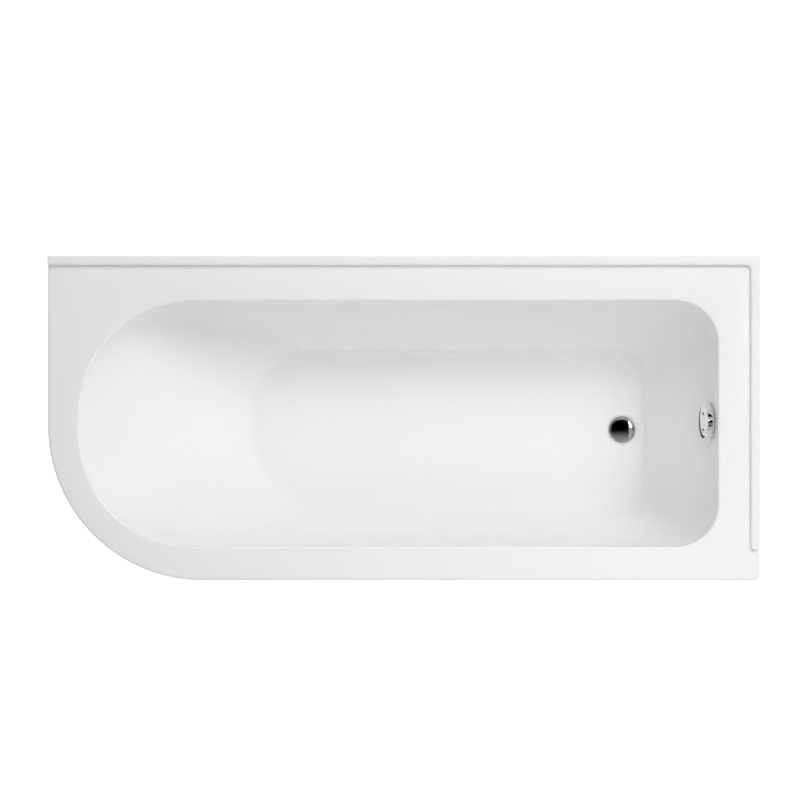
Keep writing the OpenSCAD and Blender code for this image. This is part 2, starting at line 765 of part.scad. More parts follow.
// Feet: a threaded stud in a plastic pad, through a welded nut with a lock nut under it
nut_h = 10;
nut_r = 11;
nut_top_z = leg_top_z - channel_t - seat_gap;
stud_top_z = board_z + 14;
stud_socket = 12;
FEET = ["head_back", "head_front", "tap_back", "tap_front"];
foot_spots = [for (x = leg_x, y = foot_y) [x, y]];
module stud_nut(spot, top_z) {
    translate([spot[0], spot[1], top_z - nut_h])
        difference() {
            cylinder(r = nut_r, h = nut_h, $fn = 6);
            translate([0, 0, -cut])
                cylinder(r = stud_r + running_gap, h = nut_h + 2 * cut);
        }
}
module foot_nuts() {
    color(steel)
    for (spot = foot_spots)
        stud_nut(spot, nut_top_z);
}
module foot_lock_nuts() {
    color(steel)
    for (spot = foot_spots)
        stud_nut(spot, nut_top_z - nut_h - seat_gap);
}
module foot_stud(k) {
    color(steel)
    translate([foot_spots[k][0], foot_spots[k][1], pad_h - stud_socket])
        cylinder(r = stud_r, h = stud_top_z - pad_h + stud_socket);
}
module foot_pad(k) {
    color(rubber)
    translate([foot_spots[k][0], foot_spots[k][1], 0])
        difference() {
            rotate_extrude()
                polygon([[0, 0], [pad_r - 2, 0], [pad_r, 2], [pad_r, 6], [stud_r + 5, pad_h - 4],
                    [stud_r + 5, pad_h], [0, pad_h]]);
            translate([0, 0, pad_h - stud_socket - seat_gap])
                cylinder(r = stud_r + seat_gap, h = stud_socket + cut);
        }
}

// Joggled steel brackets that hold the back of the rim to the wall
wall_bracket_w = 36;
wall_bracket_t = 2.5;
wall_bracket_drop = 100;
wall_hole_r = 3.25;
wall_hole_drop = 78;
wall_hole_z = batten_z - wall_hole_drop;
module wall_brackets() {
    t = wall_bracket_t;
    top = batten_z - seat_gap;
    near = half_w - shell_t - 3;
    far = half_w - 0.5;
    start = half_w - batten_inset - batten_w + 4;
    step = deck_z - rim_drop - 5;
    color(steel)
    for (x = bracket_x)
        difference() {
            translate([x - wall_bracket_w / 2, 0, 0])
                rotate([90, 0, 90])
                    linear_extrude(wall_bracket_w)
                        polygon([[start, top - t], [start, top], [near, top], [near, step], [far, step - 6],
                            [far, top - wall_bracket_drop], [far - t, top - wall_bracket_drop],
                            [far - t, step - 7], [near - t, step - 1], [near - t, top - t]]);
            translate([x, bracket_screw_y, top - t - cut])
                cylinder(r = wood_screw_r + seat_gap, h = t + 2 * cut);
            for (dx = [-10, 10])
                translate([x + dx, far + cut, wall_hole_z])
                    rotate([90, 0, 0])
                        cylinder(r = wall_hole_r, h = t + 2 * cut);
        }
}
module wall_bracket_screws() {
    color(steel)
    for (x = bracket_x)
        translate([x, bracket_screw_y, batten_z - 2 * seat_gap - wall_bracket_t])
            pan_screw(wood_screw_r, wall_bracket_t + batten_screw_depth, screw_head_r, screw_head_h);
}

// Waste, measured down from the recess in the floor
module at_waste(z) {
    translate([waste_x, waste_y, z])
        children();
}
top_seal_t = 1.4;
flange_z = recess_z + top_seal_t + 2 * seat_gap;
flange_edge_h = 3;
sleeve_bore_r = 21;
sleeve_end_z = recess_under_z - 33;
hub_r = 7;
hub_top_z = flange_z - 16;
hub_h = 10;
spokes = 4;
spoke_t = 2.4;
seat_z = flange_z + 1.4;
module waste_flange() {
    color(chrome)
    difference() {
        union() {
            at_waste(0)
                rotate_extrude()
                    polygon([[sleeve_bore_r, sleeve_end_z], [sleeve_r, sleeve_end_z], [sleeve_r, flange_z],
                        [flange_r, flange_z], [flange_r, flange_z + 1.6], [flange_r - 1.4, flange_z + flange_edge_h],
                        [flange_r - 3.4, flange_z + flange_edge_h], [plug_r + 0.8, seat_z + 0.4],
                        [sleeve_r + 0.5, seat_z - 0.6], [sleeve_bore_r, seat_z - 2.4]]);
            at_waste(hub_top_z - hub_h)
                cylinder(r = hub_r, h = hub_h);
            for (k = [0:spokes - 1])
                at_waste(hub_top_z - hub_h)
                    rotate([0, 0, 45 + 360 / spokes * k])
                        translate([hub_r - 1, -spoke_t / 2, 2])
                            cube([sleeve_bore_r - hub_r + 2, spoke_t, hub_h - 4]);
        }
        at_waste(hub_top_z - hub_h - cut)
            cylinder(r = stem_r + running_gap, h = hub_h + 2 * cut);
    }
}
module seal_ring(inner_r, outer_r, z, t) {
    at_waste(z)
        difference() {
            cylinder(r = outer_r, h = t);
            translate([0, 0, -cut])
                cylinder(r = inner_r, h = t + 2 * cut);
        }
}
module waste_top_seal() {
    color(rubber)
    seal_ring(waste_hole_r + 0.5, flange_r - 1, recess_z + seat_gap, top_seal_t);
}
bottom_seal_t = 3;
bottom_seal_z = recess_under_z - seat_gap - bottom_seal_t;
module waste_bottom_seal() {
    color(rubber)
    seal_ring(waste_hole_r, flange_r, bottom_seal_z, bottom_seal_t);
}

// Waste body: a cup under the floor with an outlet below, an inlet from the overflow and a lever inside
body_top_z = bottom_seal_z - seat_gap;
body_rim_h = 4;
cup_r = 29;
cup_bore_r = sleeve_r + running_gap;
cup_floor_z = body_top_z - 54;
cup_floor_t = 4;
outlet_bore_r = 18;
inlet_z = cup_floor_z + 16;
inlet_r = 13.2;
inlet_bore_r = 9.5;
inlet_length = 46;
lever_swing = 30;
lever_reach = plug_lift / (2 * sin(lever_swing / 2));
pivot_y = lever_reach * cos(lever_swing / 2) + 0.2;
pin_r = 2;
nose_r = 3;
stem_end_z = cup_floor_z + cup_floor_t + 10;
pivot_z = stem_end_z - touch_gap - nose_r + plug_lift / 2;
gland_r = 4.6;
gland_end_y = 42;
module waste_body() {
    color(plastic)
    difference() {
        union() {
            at_waste(body_top_z - body_rim_h)
                cylinder(r = flange_r + 2, h = body_rim_h);
            at_waste(cup_floor_z)
                cylinder(r = cup_r, h = body_top_z - cup_floor_z - 1);
            at_waste(cup_floor_z - outlet_length)
                cylinder(r = sleeve_r, h = outlet_length + 1);
            at_waste(inlet_z)
                rotate([0, 90, 0])
                    cylinder(r = inlet_r, h = inlet_length);
            at_waste(pivot_z)
                rotate([-90, 0, 0])
                    cylinder(r = gland_r, h = gland_end_y);
        }
        at_waste(cup_floor_z + cup_floor_t)
            cylinder(r = cup_bore_r, h = body_top_z - cup_floor_z);
        at_waste(cup_floor_z - outlet_length - cut)
            cylinder(r = outlet_bore_r, h = outlet_length + cup_floor_t + 2 * cut);
        at_waste(inlet_z)
            rotate([0, 90, 0])
                cylinder(r = inlet_bore_r, h = inlet_length + cut);
        at_waste(pivot_z)
            rotate([-90, 0, 0])
                cylinder(r = cable_r, h = gland_end_y + cut);
        at_waste(pivot_z)
            translate([-cup_r, pivot_y, 0])
                rotate([0, 90, 0])
                    cylinder(r = pin_r + running_gap, h = 2 * cup_r);
    }
}
pin_length = 2 * (sqrt(cup_r * cup_r - pivot_y * pivot_y) - 0.8);
module lever_pin() {
    color(steel)
    at_waste(pivot_z)
        translate([-pin_length / 2, pivot_y, 0])
            rotate([0, 90, 0])
                cylinder(r = pin_r, h = pin_length);
}
lever_w = 7;
lever_hub_r = 3.5;
module lift_lever() {
    color(plastic)
    at_waste(pivot_z)
        translate([-lever_w / 2, pivot_y, 0])
            rotate([lever_swing / 2, 0, 0])
                difference() {
                    union() {
                        rotate([0, 90, 0])
                            cylinder(r = lever_hub_r, h = lever_w);
                        translate([0, -lever_reach, 0])
                            rotate([0, 90, 0])
                                cylinder(r = nose_r, h = lever_w);
                        translate([0, -lever_reach, -1.6])
                            cube([lever_w, lever_reach, 3.2]);
                    }
                    translate([-cut, 0, 0])
                        rotate([0, 90, 0])
                            cylinder(r = pin_r + running_gap, h = lever_w + 2 * cut);
                }
}

// Plug: a chrome cap with a rubber ring and a stem that the lever pushes up
ring_z = seat_z + 0.75;
ring_t = 1.4;
cap_z = ring_z + ring_t;
cap_t = 1.8;
module waste_plug() {
    color(chrome)
    at_waste(0)
        rotate_extrude()
            polygon([[0, hub_top_z + 4], [stem_r + 2, hub_top_z + 4], [stem_r + 2, ring_z], [sleeve_bore_r, ring_z],
                [sleeve_bore_r, cap_z], [plug_r - 0.4, cap_z], [plug_r, cap_z + 0.4], [plug_r, cap_z + cap_t - 0.9],
                [plug_r - 1.2, cap_z + cap_t], [plug_r * 0.6, cap_z + cap_t + 0.5], [0, cap_z + cap_t + 0.7]]);
}
module plug_seal() {
    color(rubber)
    seal_ring(sleeve_bore_r + seat_gap, plug_r - 2.5, ring_z, ring_t - seat_gap);
}
module plug_stem() {
    color(steel)
    at_waste(stem_end_z + stem_r) {
        cylinder(r = stem_r, h = hub_top_z + 4 - stem_end_z - stem_r);
        sphere(r = stem_r);
    }
}

// Overflow, measured along its axis from the wall of the basin
gasket_t = 3.5;
gasket_z = -overflow_pad_t - seat_gap - gasket_t;
drum_flange_t = 4;
drum_z = gasket_z - seat_gap - drum_flange_t;
drum_r = 29;
drum_wall = 2.5;
drum_depth = 36;
drum_back_z = drum_z - drum_depth;
boss_r = 8;
boss_h = 16;
module overflow_gasket() {
    color(rubber)
    at_overflow(gasket_z)
        difference() {
            cylinder(r = overflow_pad_r - 2, h = gasket_t);
            translate([0, 0, -cut])
                cylinder(r = overflow_hole_r, h = gasket_t + 2 * cut);
        }
}
spout_x = overflow_x - (drum_z - drum_depth / 2) * cos(overflow_tilt);
spout_z = overflow_z + (drum_z - drum_depth / 2) * sin(overflow_tilt);
spout_drop = 56;
gland_y = 22.5;
cable_drop = 32;
faceplate_screw_y = 17.5;
plate_bolt_r = 2;
module overflow_body() {
    color(plastic)
    difference() {
        union() {
            at_overflow(drum_z)
                cylinder(r = overflow_pad_r - 2, h = drum_flange_t);
            at_overflow(drum_back_z)
                cylinder(r = drum_r, h = drum_depth + 1);
            translate([spout_x, overflow_y, spout_z - spout_drop])
                cylinder(r = inlet_r, h = spout_drop);
            translate([spout_x, overflow_y + gland_y, spout_z - cable_drop])
                cylinder(r = gland_r, h = cable_drop - 12);
        }
        at_overflow(drum_back_z + drum_wall)
            cylinder(r = drum_r - drum_wall, h = drum_depth + drum_flange_t);
        translate([spout_x, overflow_y, spout_z - spout_drop - cut])
            cylinder(r = inlet_bore_r, h = spout_drop - 12);
        translate([spout_x, overflow_y + gland_y, spout_z - cable_drop - cut])
            cylinder(r = cable_r, h = cable_drop - 8);
        at_overflow(drum_back_z - cut)
            cylinder(r = spindle_r + running_gap, h = drum_wall + 2 * cut);
    }
}

// Cross-piece inside the overflow body that carries the spindle and takes the faceplate's screws
bridge_t = 6;
bridge_z = drum_z + drum_flange_t - bridge_t - 1;
module overflow_bridge() {
    color(grey_plastic)
    at_overflow(bridge_z)
        difference() {
            union() {
                cylinder(r = boss_r, h = bridge_t);
                translate([-4.5, 1 + seat_gap - drum_r + drum_wall, 0])
                    cube([9, 2 * (drum_r - drum_wall - 1 - seat_gap), bridge_t]);
            }
            translate([0, 0, -cut])
                cylinder(r = spindle_r + running_gap, h = bridge_t + 2 * cut);
            for (s = [-1, 1])
                translate([0, s * faceplate_screw_y, -cut])
                    cylinder(r = plate_bolt_r + seat_gap, h = bridge_t + 2 * cut);
        }
}

plate_z = -overflow_seat_depth + seat_gap;
plate_t = 2.6;
slot_w = 5;
module overflow_faceplate() {
    color(chrome)
    at_overflow(plate_z)
        difference() {
            rotate_extrude()
                polygon([[spindle_r + running_gap, 0], [faceplate_r, 0], [faceplate_r, 1.4],
                    [faceplate_r - 1.2, plate_t], [spindle_r + running_gap, plate_t]]);
            for (a = [150, 180, 210])
                rotate([0, 0, a])
                    translate([overflow_hole_r - 12, -slot_w / 2, -cut])
                        cube([10, slot_w, plate_t + 2 * cut]);
            for (s = [-1, 1])
                translate([0, s * faceplate_screw_y, -cut])
                    cylinder(r = plate_bolt_r + seat_gap, h = plate_t + 2 * cut);
        }
}
module faceplate_screws() {
    color(steel)
    for (s = [-1, 1])
        at_overflow(plate_z + plate_t + seat_gap)
            translate([0, s * faceplate_screw_y, 0])
                rotate([180, 0, 0])
                    pan_screw(plate_bolt_r, plate_z + plate_t - bridge_z, 3.6, 1.6);
}

spindle_end_z = knob_gap + knob_t - 3.2;
cam_r = 12;
cam_t = 5;
cam_z = drum_back_z + drum_wall + 3;
module overflow_spindle() {
    color(steel)
    difference() {
        union() {
            at_overflow(drum_back_z - 2)
                cylinder(r = spindle_r, h = spindle_end_z - drum_back_z + 2);
            at_overflow(cam_z)
                cylinder(r = cam_r, h = cam_t);
        }
        at_overflow(cam_z - cut)
            translate([0, cam_r - 3.5, 0])
                cylinder(r = 1.2, h = cam_t + 2 * cut);
    }
}

knob_wall = 2.4;
knob_edge = 2;
grip_y = 19.5;
grip_l = 15;
grip_w = 5;
module overflow_knob() {
    color(chrome)
    at_overflow(knob_gap)
        difference() {
            rotate_extrude($fn = 96)
                polygon([[spindle_r + seat_gap, 0.5], [spindle_r + 3.5, 0.5], [spindle_r + 3.5, knob_t - knob_wall],
                    [knob_r - knob_wall, knob_t - knob_wall], [knob_r - knob_wall, 0], [knob_r - 0.5, 0],
                    [knob_r, 0.5], [knob_r, knob_t - knob_edge], [knob_r - 0.6, knob_t - 0.6],
                    [knob_r - knob_edge, knob_t], [0, knob_t + 0.6], [0, spindle_end_z - knob_gap + seat_gap],
                    [spindle_r + seat_gap, spindle_end_z - knob_gap + seat_gap]]);
            for (s = [-1, 1])
                translate([0, s * grip_y, knob_t - 1])
                    rotate([0, 0, 8])
                        grip_slot();
        }
}
// Finger slot with round ends
module grip_slot() {
    translate([-grip_w / 2, (grip_w - grip_l) / 2, 0])
        cube([grip_w, grip_l - grip_w, 3]);
    for (s = [-1, 1])
        translate([0, s * (grip_l - grip_w) / 2, 0])
            cylinder(r = grip_w / 2, h = 3);
}

// Hose from the spout of the overflow down to the inlet of the waste
hose_top = [spout_x, overflow_y, spout_z - spout_drop - seat_gap];
hose_end = [waste_x + inlet_length + seat_gap, waste_y, inlet_z];
hose_plain = 2 * hose_crest_r;
hose_a = hose_top - [0, 0, hose_plain];
hose_b = hose_end + [hose_plain, 0, 0];
hose_pull = 130;
function bezier(p0, p1, p2, p3, t) =
    pow(1 - t, 3) * p0 + 3 * t * pow(1 - t, 2) * p1 + 3 * t * t * (1 - t) * p2 + pow(t, 3) * p3;
function hose_mid(t) =
    bezier(hose_a, hose_a - [0, 0, hose_pull + 30], hose_b + [hose_pull, 0, 0], hose_b, t);
hose_steps = 2 * hose_ribs;
hose_path = concat([hose_top], [for (k = [0:hose_steps]) hose_mid(k / hose_steps)], [hose_end]);
function along(path, i) = unit(path[min(i + 1, len(path) - 1)] - path[max(i - 1, 0)]);
function path_ring(path, i, r, n, t) =
    let (u = unit(cross([0, 1, 0], t)), v = cross(t, u))
    [for (k = [0:n - 1]) let (a = 360 * k / n) path[i] + r * (cos(a) * u + sin(a) * v)];
function hose_dir(i) = i == 0 || i == 1 ? [0, 0, -1] : i >= len(hose_path) - 2 ? [-1, 0, 0] : along(hose_path, i);
hose_bore_step = 4;
module overflow_hose() {
    last = len(hose_path) - 1;
    bore_at = concat([0, 1], [for (i = [1 + hose_bore_step:hose_bore_step:last - 2]) i], [last - 1, last]);
    outer = [for (i = [0:last])
        path_ring(hose_path, i, i > 1 && i < last - 1 && i % 2 == 0 ? hose_crest_r : hose_root_r, 8, hose_dir(i))];
    inner = [for (i = bore_at) path_ring(hose_path, i, hose_bore_r, 8, hose_dir(i))];
    color(grey_plastic)
    ring_loft(concat(outer, reversed(inner)));
}

// Compression nut over a spout and the plain end of the hose
nut_wall = 3;
hose_nut_l = 30;
hose_nut_ribs = 12;
module hose_nut() {
    difference() {
        union() {
            cylinder(r = hose_crest_r + touch_gap + nut_wall, h = hose_nut_l);
            for (k = [0:hose_nut_ribs - 1])
                rotate([0, 0, 360 / hose_nut_ribs * k])
                    translate([hose_crest_r + nut_wall - 0.2, -1.5, 3])
                        cube([2, 3, hose_nut_l - 6]);
        }
        translate([0, 0, -cut])
            cylinder(r = inlet_r + seat_gap, h = hose_nut_l + 2 * cut);
    }
}
module hose_nut_top() {
    color(plastic)
    translate(hose_top - [0, 0, hose_nut_l / 2])
        hose_nut();
}
module hose_nut_bottom() {
    color(plastic)
    translate(hose_end - [hose_nut_l / 2, 0, 0])
        rotate([0, 90, 0])
            hose_nut();
}

// Cable that carries the turn of the knob to the lever, from gland to gland
cable_top = [spout_x, overflow_y + gland_y, spout_z - cable_drop - seat_gap];
cable_end = [waste_x, waste_y + gland_end_y + seat_gap, pivot_z];
cable_fall = cable_top[2] - cable_end[2];
cable_knots = concat(
    [for (p = [[0, 0, 0], [0, 0, -0.045], [0, 0.01, -0.185], [-0.012, 0.03, -0.37], [-0.05, 0.06, -0.555],
        [-0.135, 0.09, -0.74]]) cable_top + cable_fall * p],
    [for (p = [[0.4, 0.125, 0.07], [0.21, 0.15, 0.012], [0.08, 0.11, 0], [0.012, 0.05, 0], [0, 0.025, 0],
        [0, 0, 0]]) cable_end + cable_fall * p]);
cable_between = 4;
function through(k0, k1, k2, k3, t) =
    0.5 * (2 * k1 + (k2 - k0) * t + (2 * k0 - 5 * k1 + 4 * k2 - k3) * t * t
        + (3 * k1 - k0 - 3 * k2 + k3) * t * t * t);
cable_path = concat(
    [for (i = [0:len(cable_knots) - 2], k = [0:cable_between - 1])
        through(cable_knots[max(i - 1, 0)], cable_knots[i], cable_knots[i + 1],
            cable_knots[min(i + 2, len(cable_knots) - 1)], k / cable_between)],
    [cable_knots[len(cable_knots) - 1]]);
module lift_cable() {
    last = len(cable_path) - 1;
    color(rubber)
    capped_loft([for (i = [0:last])
        let (t = i == 0 ? [0, 0, -1] : i == last ? [0, -1, 0] : along(cable_path, i),
            u = unit(cross([1, 0, 0.4], t)), v = cross(t, u))
        [for (k = [0:7]) cable_path[i] + cable_r * (cos(45 * k) * u + sin(45 * k) * v)]]);
}
ferrule_l = 12;
module cable_ferrule() {
    difference() {
        cylinder(r = gland_r + 2, h = ferrule_l);
        translate([0, 0, -cut])
            cylinder(r = gland_r + seat_gap, h = ferrule_l / 2 + cut);
        translate([0, 0, -cut])
            cylinder(r = cable_r + touch_gap, h = ferrule_l + 2 * cut);
    }
}
module cable_ferrule_top() {
    color(steel)
    translate(cable_top + [0, 0, ferrule_l / 2])
        rotate([180, 0, 0])
            cable_ferrule();
}
module cable_ferrule_bottom() {
    color(steel)
    translate(cable_end - [0, ferrule_l / 2, 0])
        rotate([-90, 0, 0])
            cable_ferrule();
}

FIXED = ["bath_shell", "glassfibre_backing", "wall_upstand", "base_board", "rim_batten_back",
    "rim_batten_front", "rim_batten_corner", "rim_batten_head", "rim_batten_tap", "front_panel",
    "panel_foot_batten", "panel_clips", "panel_clip_screws", "panel_screws", "panel_brackets",
    "bracket_bolts", "leg_channel_head", "leg_channel_tap", "leg_screws", "foot_nuts",
    "foot_lock_nuts", "wall_brackets", "wall_bracket_screws", "waste_flange", "waste_top_seal",
    "waste_bottom_seal", "waste_body", "lever_pin", "overflow_gasket", "overflow_body",
    "overflow_bridge", "overflow_faceplate", "faceplate_screws", "overflow_hose", "hose_nut_top",
    "hose_nut_bottom", "lift_cable", "cable_ferrule_top", "cable_ferrule_bottom"];
MOVING = ["waste_plug", "plug_seal", "plug_stem", "lift_lever", "overflow_knob", "overflow_spindle"];
bath_shell();
glassfibre_backing();
wall_upstand();
base_board();
rim_batten_back();
rim_batten_front();
rim_batten_corner();
rim_batten_head();
rim_batten_tap();
front_panel();
panel_foot_batten();
panel_clips();
panel_clip_screws();
panel_screws();
panel_brackets();
bracket_bolts();
leg_channel_head();
leg_channel_tap();
leg_screws();
foot_nuts();
foot_lock_nuts();
wall_brackets();
wall_bracket_screws();
waste_flange();
waste_top_seal();
waste_bottom_seal();
waste_body();
lever_pin();
overflow_gasket();
overflow_body();
overflow_bridge();
overflow_faceplate();
faceplate_screws();
overflow_hose();
hose_nut_top();
hose_nut_bottom();
lift_cable();
cable_ferrule_top();
cable_ferrule_bottom();
waste_plug();
plug_seal();
plug_stem();
lift_lever();
overflow_knob();
overflow_spindle();
for (k = [0:len(FEET) - 1]) {
    foot_stud(k);
    foot_pad(k);
}
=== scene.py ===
# %% [markdown]
# # Dressing a shower bath
# The imported CAD model is the fixed frame: it says where every piece of the bath is and what moves.
# This lesson builds the looks around it. Pieces that the eye rests on (the acrylic basin, the
# chrome, the panel) get a finer mesh of their own. Plain pieces keep their CAD shape and get
# rounded edges. Every piece gets a material made of nodes.
#
# The first cell loads the frame, and `part_box` reads the box of any CAD node, so that the last cell can show
# how far each dressed piece is from the box of its solid.

# %% Load the frame
import json
import math
from contextlib import contextmanager

import bmesh
import bpy
import numpy as np
from mathutils import Matrix, Vector

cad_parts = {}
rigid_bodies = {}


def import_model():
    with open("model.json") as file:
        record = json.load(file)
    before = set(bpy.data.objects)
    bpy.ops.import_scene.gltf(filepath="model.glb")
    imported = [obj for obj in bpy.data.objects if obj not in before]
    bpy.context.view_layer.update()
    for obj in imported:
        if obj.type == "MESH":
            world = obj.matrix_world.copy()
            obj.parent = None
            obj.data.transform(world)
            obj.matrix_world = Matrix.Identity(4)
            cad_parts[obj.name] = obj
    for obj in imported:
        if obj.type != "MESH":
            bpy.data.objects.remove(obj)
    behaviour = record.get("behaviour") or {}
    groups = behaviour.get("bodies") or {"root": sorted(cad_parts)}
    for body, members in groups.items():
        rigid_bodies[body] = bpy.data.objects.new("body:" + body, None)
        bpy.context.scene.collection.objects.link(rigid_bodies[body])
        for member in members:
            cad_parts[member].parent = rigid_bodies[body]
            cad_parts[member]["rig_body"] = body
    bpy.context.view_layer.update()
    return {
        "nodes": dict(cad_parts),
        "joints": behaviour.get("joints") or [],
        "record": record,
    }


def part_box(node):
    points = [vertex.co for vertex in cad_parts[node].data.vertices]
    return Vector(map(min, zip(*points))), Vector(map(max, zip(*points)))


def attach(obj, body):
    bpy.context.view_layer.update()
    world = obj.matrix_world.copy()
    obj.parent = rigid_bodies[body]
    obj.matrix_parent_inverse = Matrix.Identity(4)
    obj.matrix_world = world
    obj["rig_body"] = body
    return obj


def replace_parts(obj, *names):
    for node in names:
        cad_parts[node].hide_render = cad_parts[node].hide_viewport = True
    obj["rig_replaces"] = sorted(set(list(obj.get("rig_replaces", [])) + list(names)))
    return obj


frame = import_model()
mm = 0.001
slot_of = {row["node"]: row["material_slot"] for row in frame["record"]["subparts"]}
joint_of = {joint["name"]: joint for joint in frame["joints"]}

# %% [markdown]
# ## The camera
# The photograph looks straight down from far above the rim: the tap-end wall and the two long
# walls are all seen from inside, and the outer sides are hidden. So the camera hangs over the
# middle of the picture and looks along -Z. The lens follows from two facts: how high the camera
# hangs over the rim, and how many millimetres of rim one pixel covers.

# %% Camera over the bath
picture_px = 800
rim_mm_per_px = 2.386
camera_above_rim = 4.2
bath_centre_px = (404, 418)
sensor_mm = 36.0

rim_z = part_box("bath_shell")[1].z
camera_data = bpy.data.cameras.new("camera_above")
camera = bpy.data.objects.new("camera_above", camera_data)
bpy.context.scene.collection.objects.link(camera)
bpy.context.scene.camera = camera
camera_data.sensor_width = sensor_mm
camera_data.lens = sensor_mm * camera_above_rim / (picture_px * rim_mm_per_px * mm)
camera_data.clip_end = 50
camera.location = (
    (picture_px / 2 - bath_centre_px[0]) * rim_mm_per_px * mm,
    (bath_centre_px[1] - picture_px / 2) * rim_mm_per_px * mm,
    rim_z + camera_above_rim,
)
print("lens", round(camera_data.lens, 1), "mm, camera at", [round(c, 3) for c in camera.location])

# %% [markdown]
# ## Wiring node trees
# The sky, the materials and the recipes below are all trees of nodes. Two small classes keep their
# wiring short. `Wiring` adds a node by kind, with its settings and its inputs by name. `Number`
# holds an output of a node, so that a formula can be written as one, and each sign in it becomes a
# Math node.

# %% Helpers for node trees
class Number:
    """An output of a node that can be added, subtracted, multiplied and divided."""

    def __init__(self, wiring, socket):
        self.wiring, self.socket = wiring, socket

    def __add__(self, other):
        return self.wiring.math("ADD", self, other)

    def __sub__(self, other):
        return self.wiring.math("SUBTRACT", self, other)

    def __rsub__(self, other):
        return self.wiring.math("SUBTRACT", other, self)

    def __mul__(self, other):
        return self.wiring.math("MULTIPLY", self, other)

    def __truediv__(self, other):
        return self.wiring.math("DIVIDE", self, other)

    __radd__, __rmul__ = __add__, __mul__


class Wiring:
    """A node tree under construction: nodes are added by kind, and their inputs by name."""

    def __init__(self, tree):
        self.tree = tree

    def add(self, kind, settings=None, **inputs):
        node = self.tree.nodes.new(kind)
        for name, value in (settings or {}).items():
            setattr(node, name, value)
        for name, value in inputs.items():
            label = name.replace("_", " ")
            self.feed(next(s for s in node.inputs if s.name == label and s.enabled), value)
        return node

    def feed(self, socket, value):
        if isinstance(value, Number):
            value = value.socket
        if isinstance(value, bpy.types.NodeSocket):
            self.tree.links.new(value, socket)
        elif value is not None:
            socket.default_value = value

    def number(self, socket):
        return Number(self, socket)

    def math(self, operation, *values):
        node = self.add("ShaderNodeMath", {"operation": operation})
        for socket, value in zip(node.inputs, values):
            self.feed(socket, value)
        return self.number(node.outputs[0])


# %% [markdown]
# ## The light
# A bath is photographed for a catalogue under soft boxes. In the photograph the deck grows lighter
# from left to right, the backrest is bright, the wall under the taps is dull, and of the two long
# walls the front one is the lighter. So the strong light comes from far away, high behind the
# right end, two weaker boxes fill in from behind, and one stands near the front right corner. Two
# narrow beams straight above brighten the floor of the basin alone.
#
# The soft boxes don't show in anything glossy, because in the photograph no window shines on the
# acrylic. What the chrome mirrors is made apart from them, with three small lamps and the sky.

# %% Soft lights
def soft_light(name, place, size, watts, length=None, aim=(0.0, 0.0, 0.4), spread=math.pi, mirrored=False):
    """A square or oblong area light that faces a point, the middle of the bath if none is given."""
    data = bpy.data.lights.new(name, "AREA")
    data.shape, data.size, data.size_y, data.energy = "RECTANGLE", size, length or size, watts
    data.spread = spread
    light = bpy.data.objects.new(name, data)
    light.location = place
    light.rotation_euler = (Vector(aim) - Vector(place)).to_track_quat("-Z", "Y").to_euler()
    light.visible_glossy = mirrored
    bpy.context.scene.collection.objects.link(light)


def around_bath(turn, height_angle, distance):
    """A place at a compass angle and an elevation from the middle of the bath."""
    turn, height_angle = math.radians(turn), math.radians(height_angle)
    return Vector((0.0, 0.0, 0.4)) + distance * Vector((
        math.cos(turn) * math.cos(height_angle), math.sin(turn) * math.cos(height_angle), math.sin(height_angle)))


for name, turn, height_angle, distance, size, watts in (
        ("far_back_right", 45, 53, 8.0, 3.4, 163), ("high_back_right", 60, 62, 4.2, 2.4, 28),
        ("low_back", 90, 38, 4.0, 2.0, 13.5), ("near_front_right", 300, 50, 2.1, 1.2, 8)):
    soft_light(name, around_bath(turn, height_angle, distance), size, watts)
beam_y, beam_z, beam_spread = -0.03, 5.6, 0.10
for name, beam_x, size, watts in (("over_basin", 0.10, 1.2, 0.104), ("over_basin_right", 0.35, 0.7, 0.087)):
    soft_light(name, (beam_x, beam_y, beam_z), size, watts, length=0.4, aim=(beam_x, beam_y, 0),
               spread=beam_spread)
near_plug, near_knob = (0.57, -0.03, 0.17), (0.72, -0.01, 0.48)
soft_light("narrow_lamp", (1.44, 0.26, 3.1), 0.40, 0.6, length=0.09, aim=near_plug, mirrored=True)
soft_light("knob_lamp_back", (1.80, 0.96, 3.3), 0.30, 0.5, aim=near_knob, mirrored=True)
soft_light("knob_lamp_front", (1.80, -1.90, 2.9), 0.34, 0.6, aim=near_knob, mirrored=True)
bpy.context.scene.view_settings.view_transform = "Standard"

# %% [markdown]
# ## The sky
# Chrome shows what the room looks like. The nearly flat plug mirrors only the ceiling straight
# above: in the photograph it is black, with a grey side towards the front and a white one towards
# the right. The rim of the knob mirrors a patch a little further right, with black blocks in it. So
# the sky is dark overhead, but for three soft patches, and has a bright belt round that, with two
# dark blocks where the knob looks.
#
# A sky is a colour for each direction. Each part of it below is a strength times a few smooth
# steps in the direction's three numbers, and the parts are added up.

# %% The sky
room = bpy.data.worlds.new("studio_sky")
bpy.context.scene.world = room
room.use_nodes = True
room.node_tree.nodes.clear()
sky = Wiring(room.node_tree)
toward = sky.add("ShaderNodeSeparateXYZ", Vector=sky.add("ShaderNodeTexCoord").outputs["Generated"]).outputs
to_right, to_back, up = (sky.number(toward[axis]) for axis in "XYZ")


def rises(value, low, high):
    """Smoothly from 0 to 1 while a part of the direction goes from low to high."""
    step = sky.add("ShaderNodeMapRange", {"interpolation_type": "SMOOTHSTEP"}, Value=value, From_Min=low,
                   From_Max=high)
    return sky.number(step.outputs["Result"])


def falls(value, low, high):
    return 1.0 - rises(value, low, high)


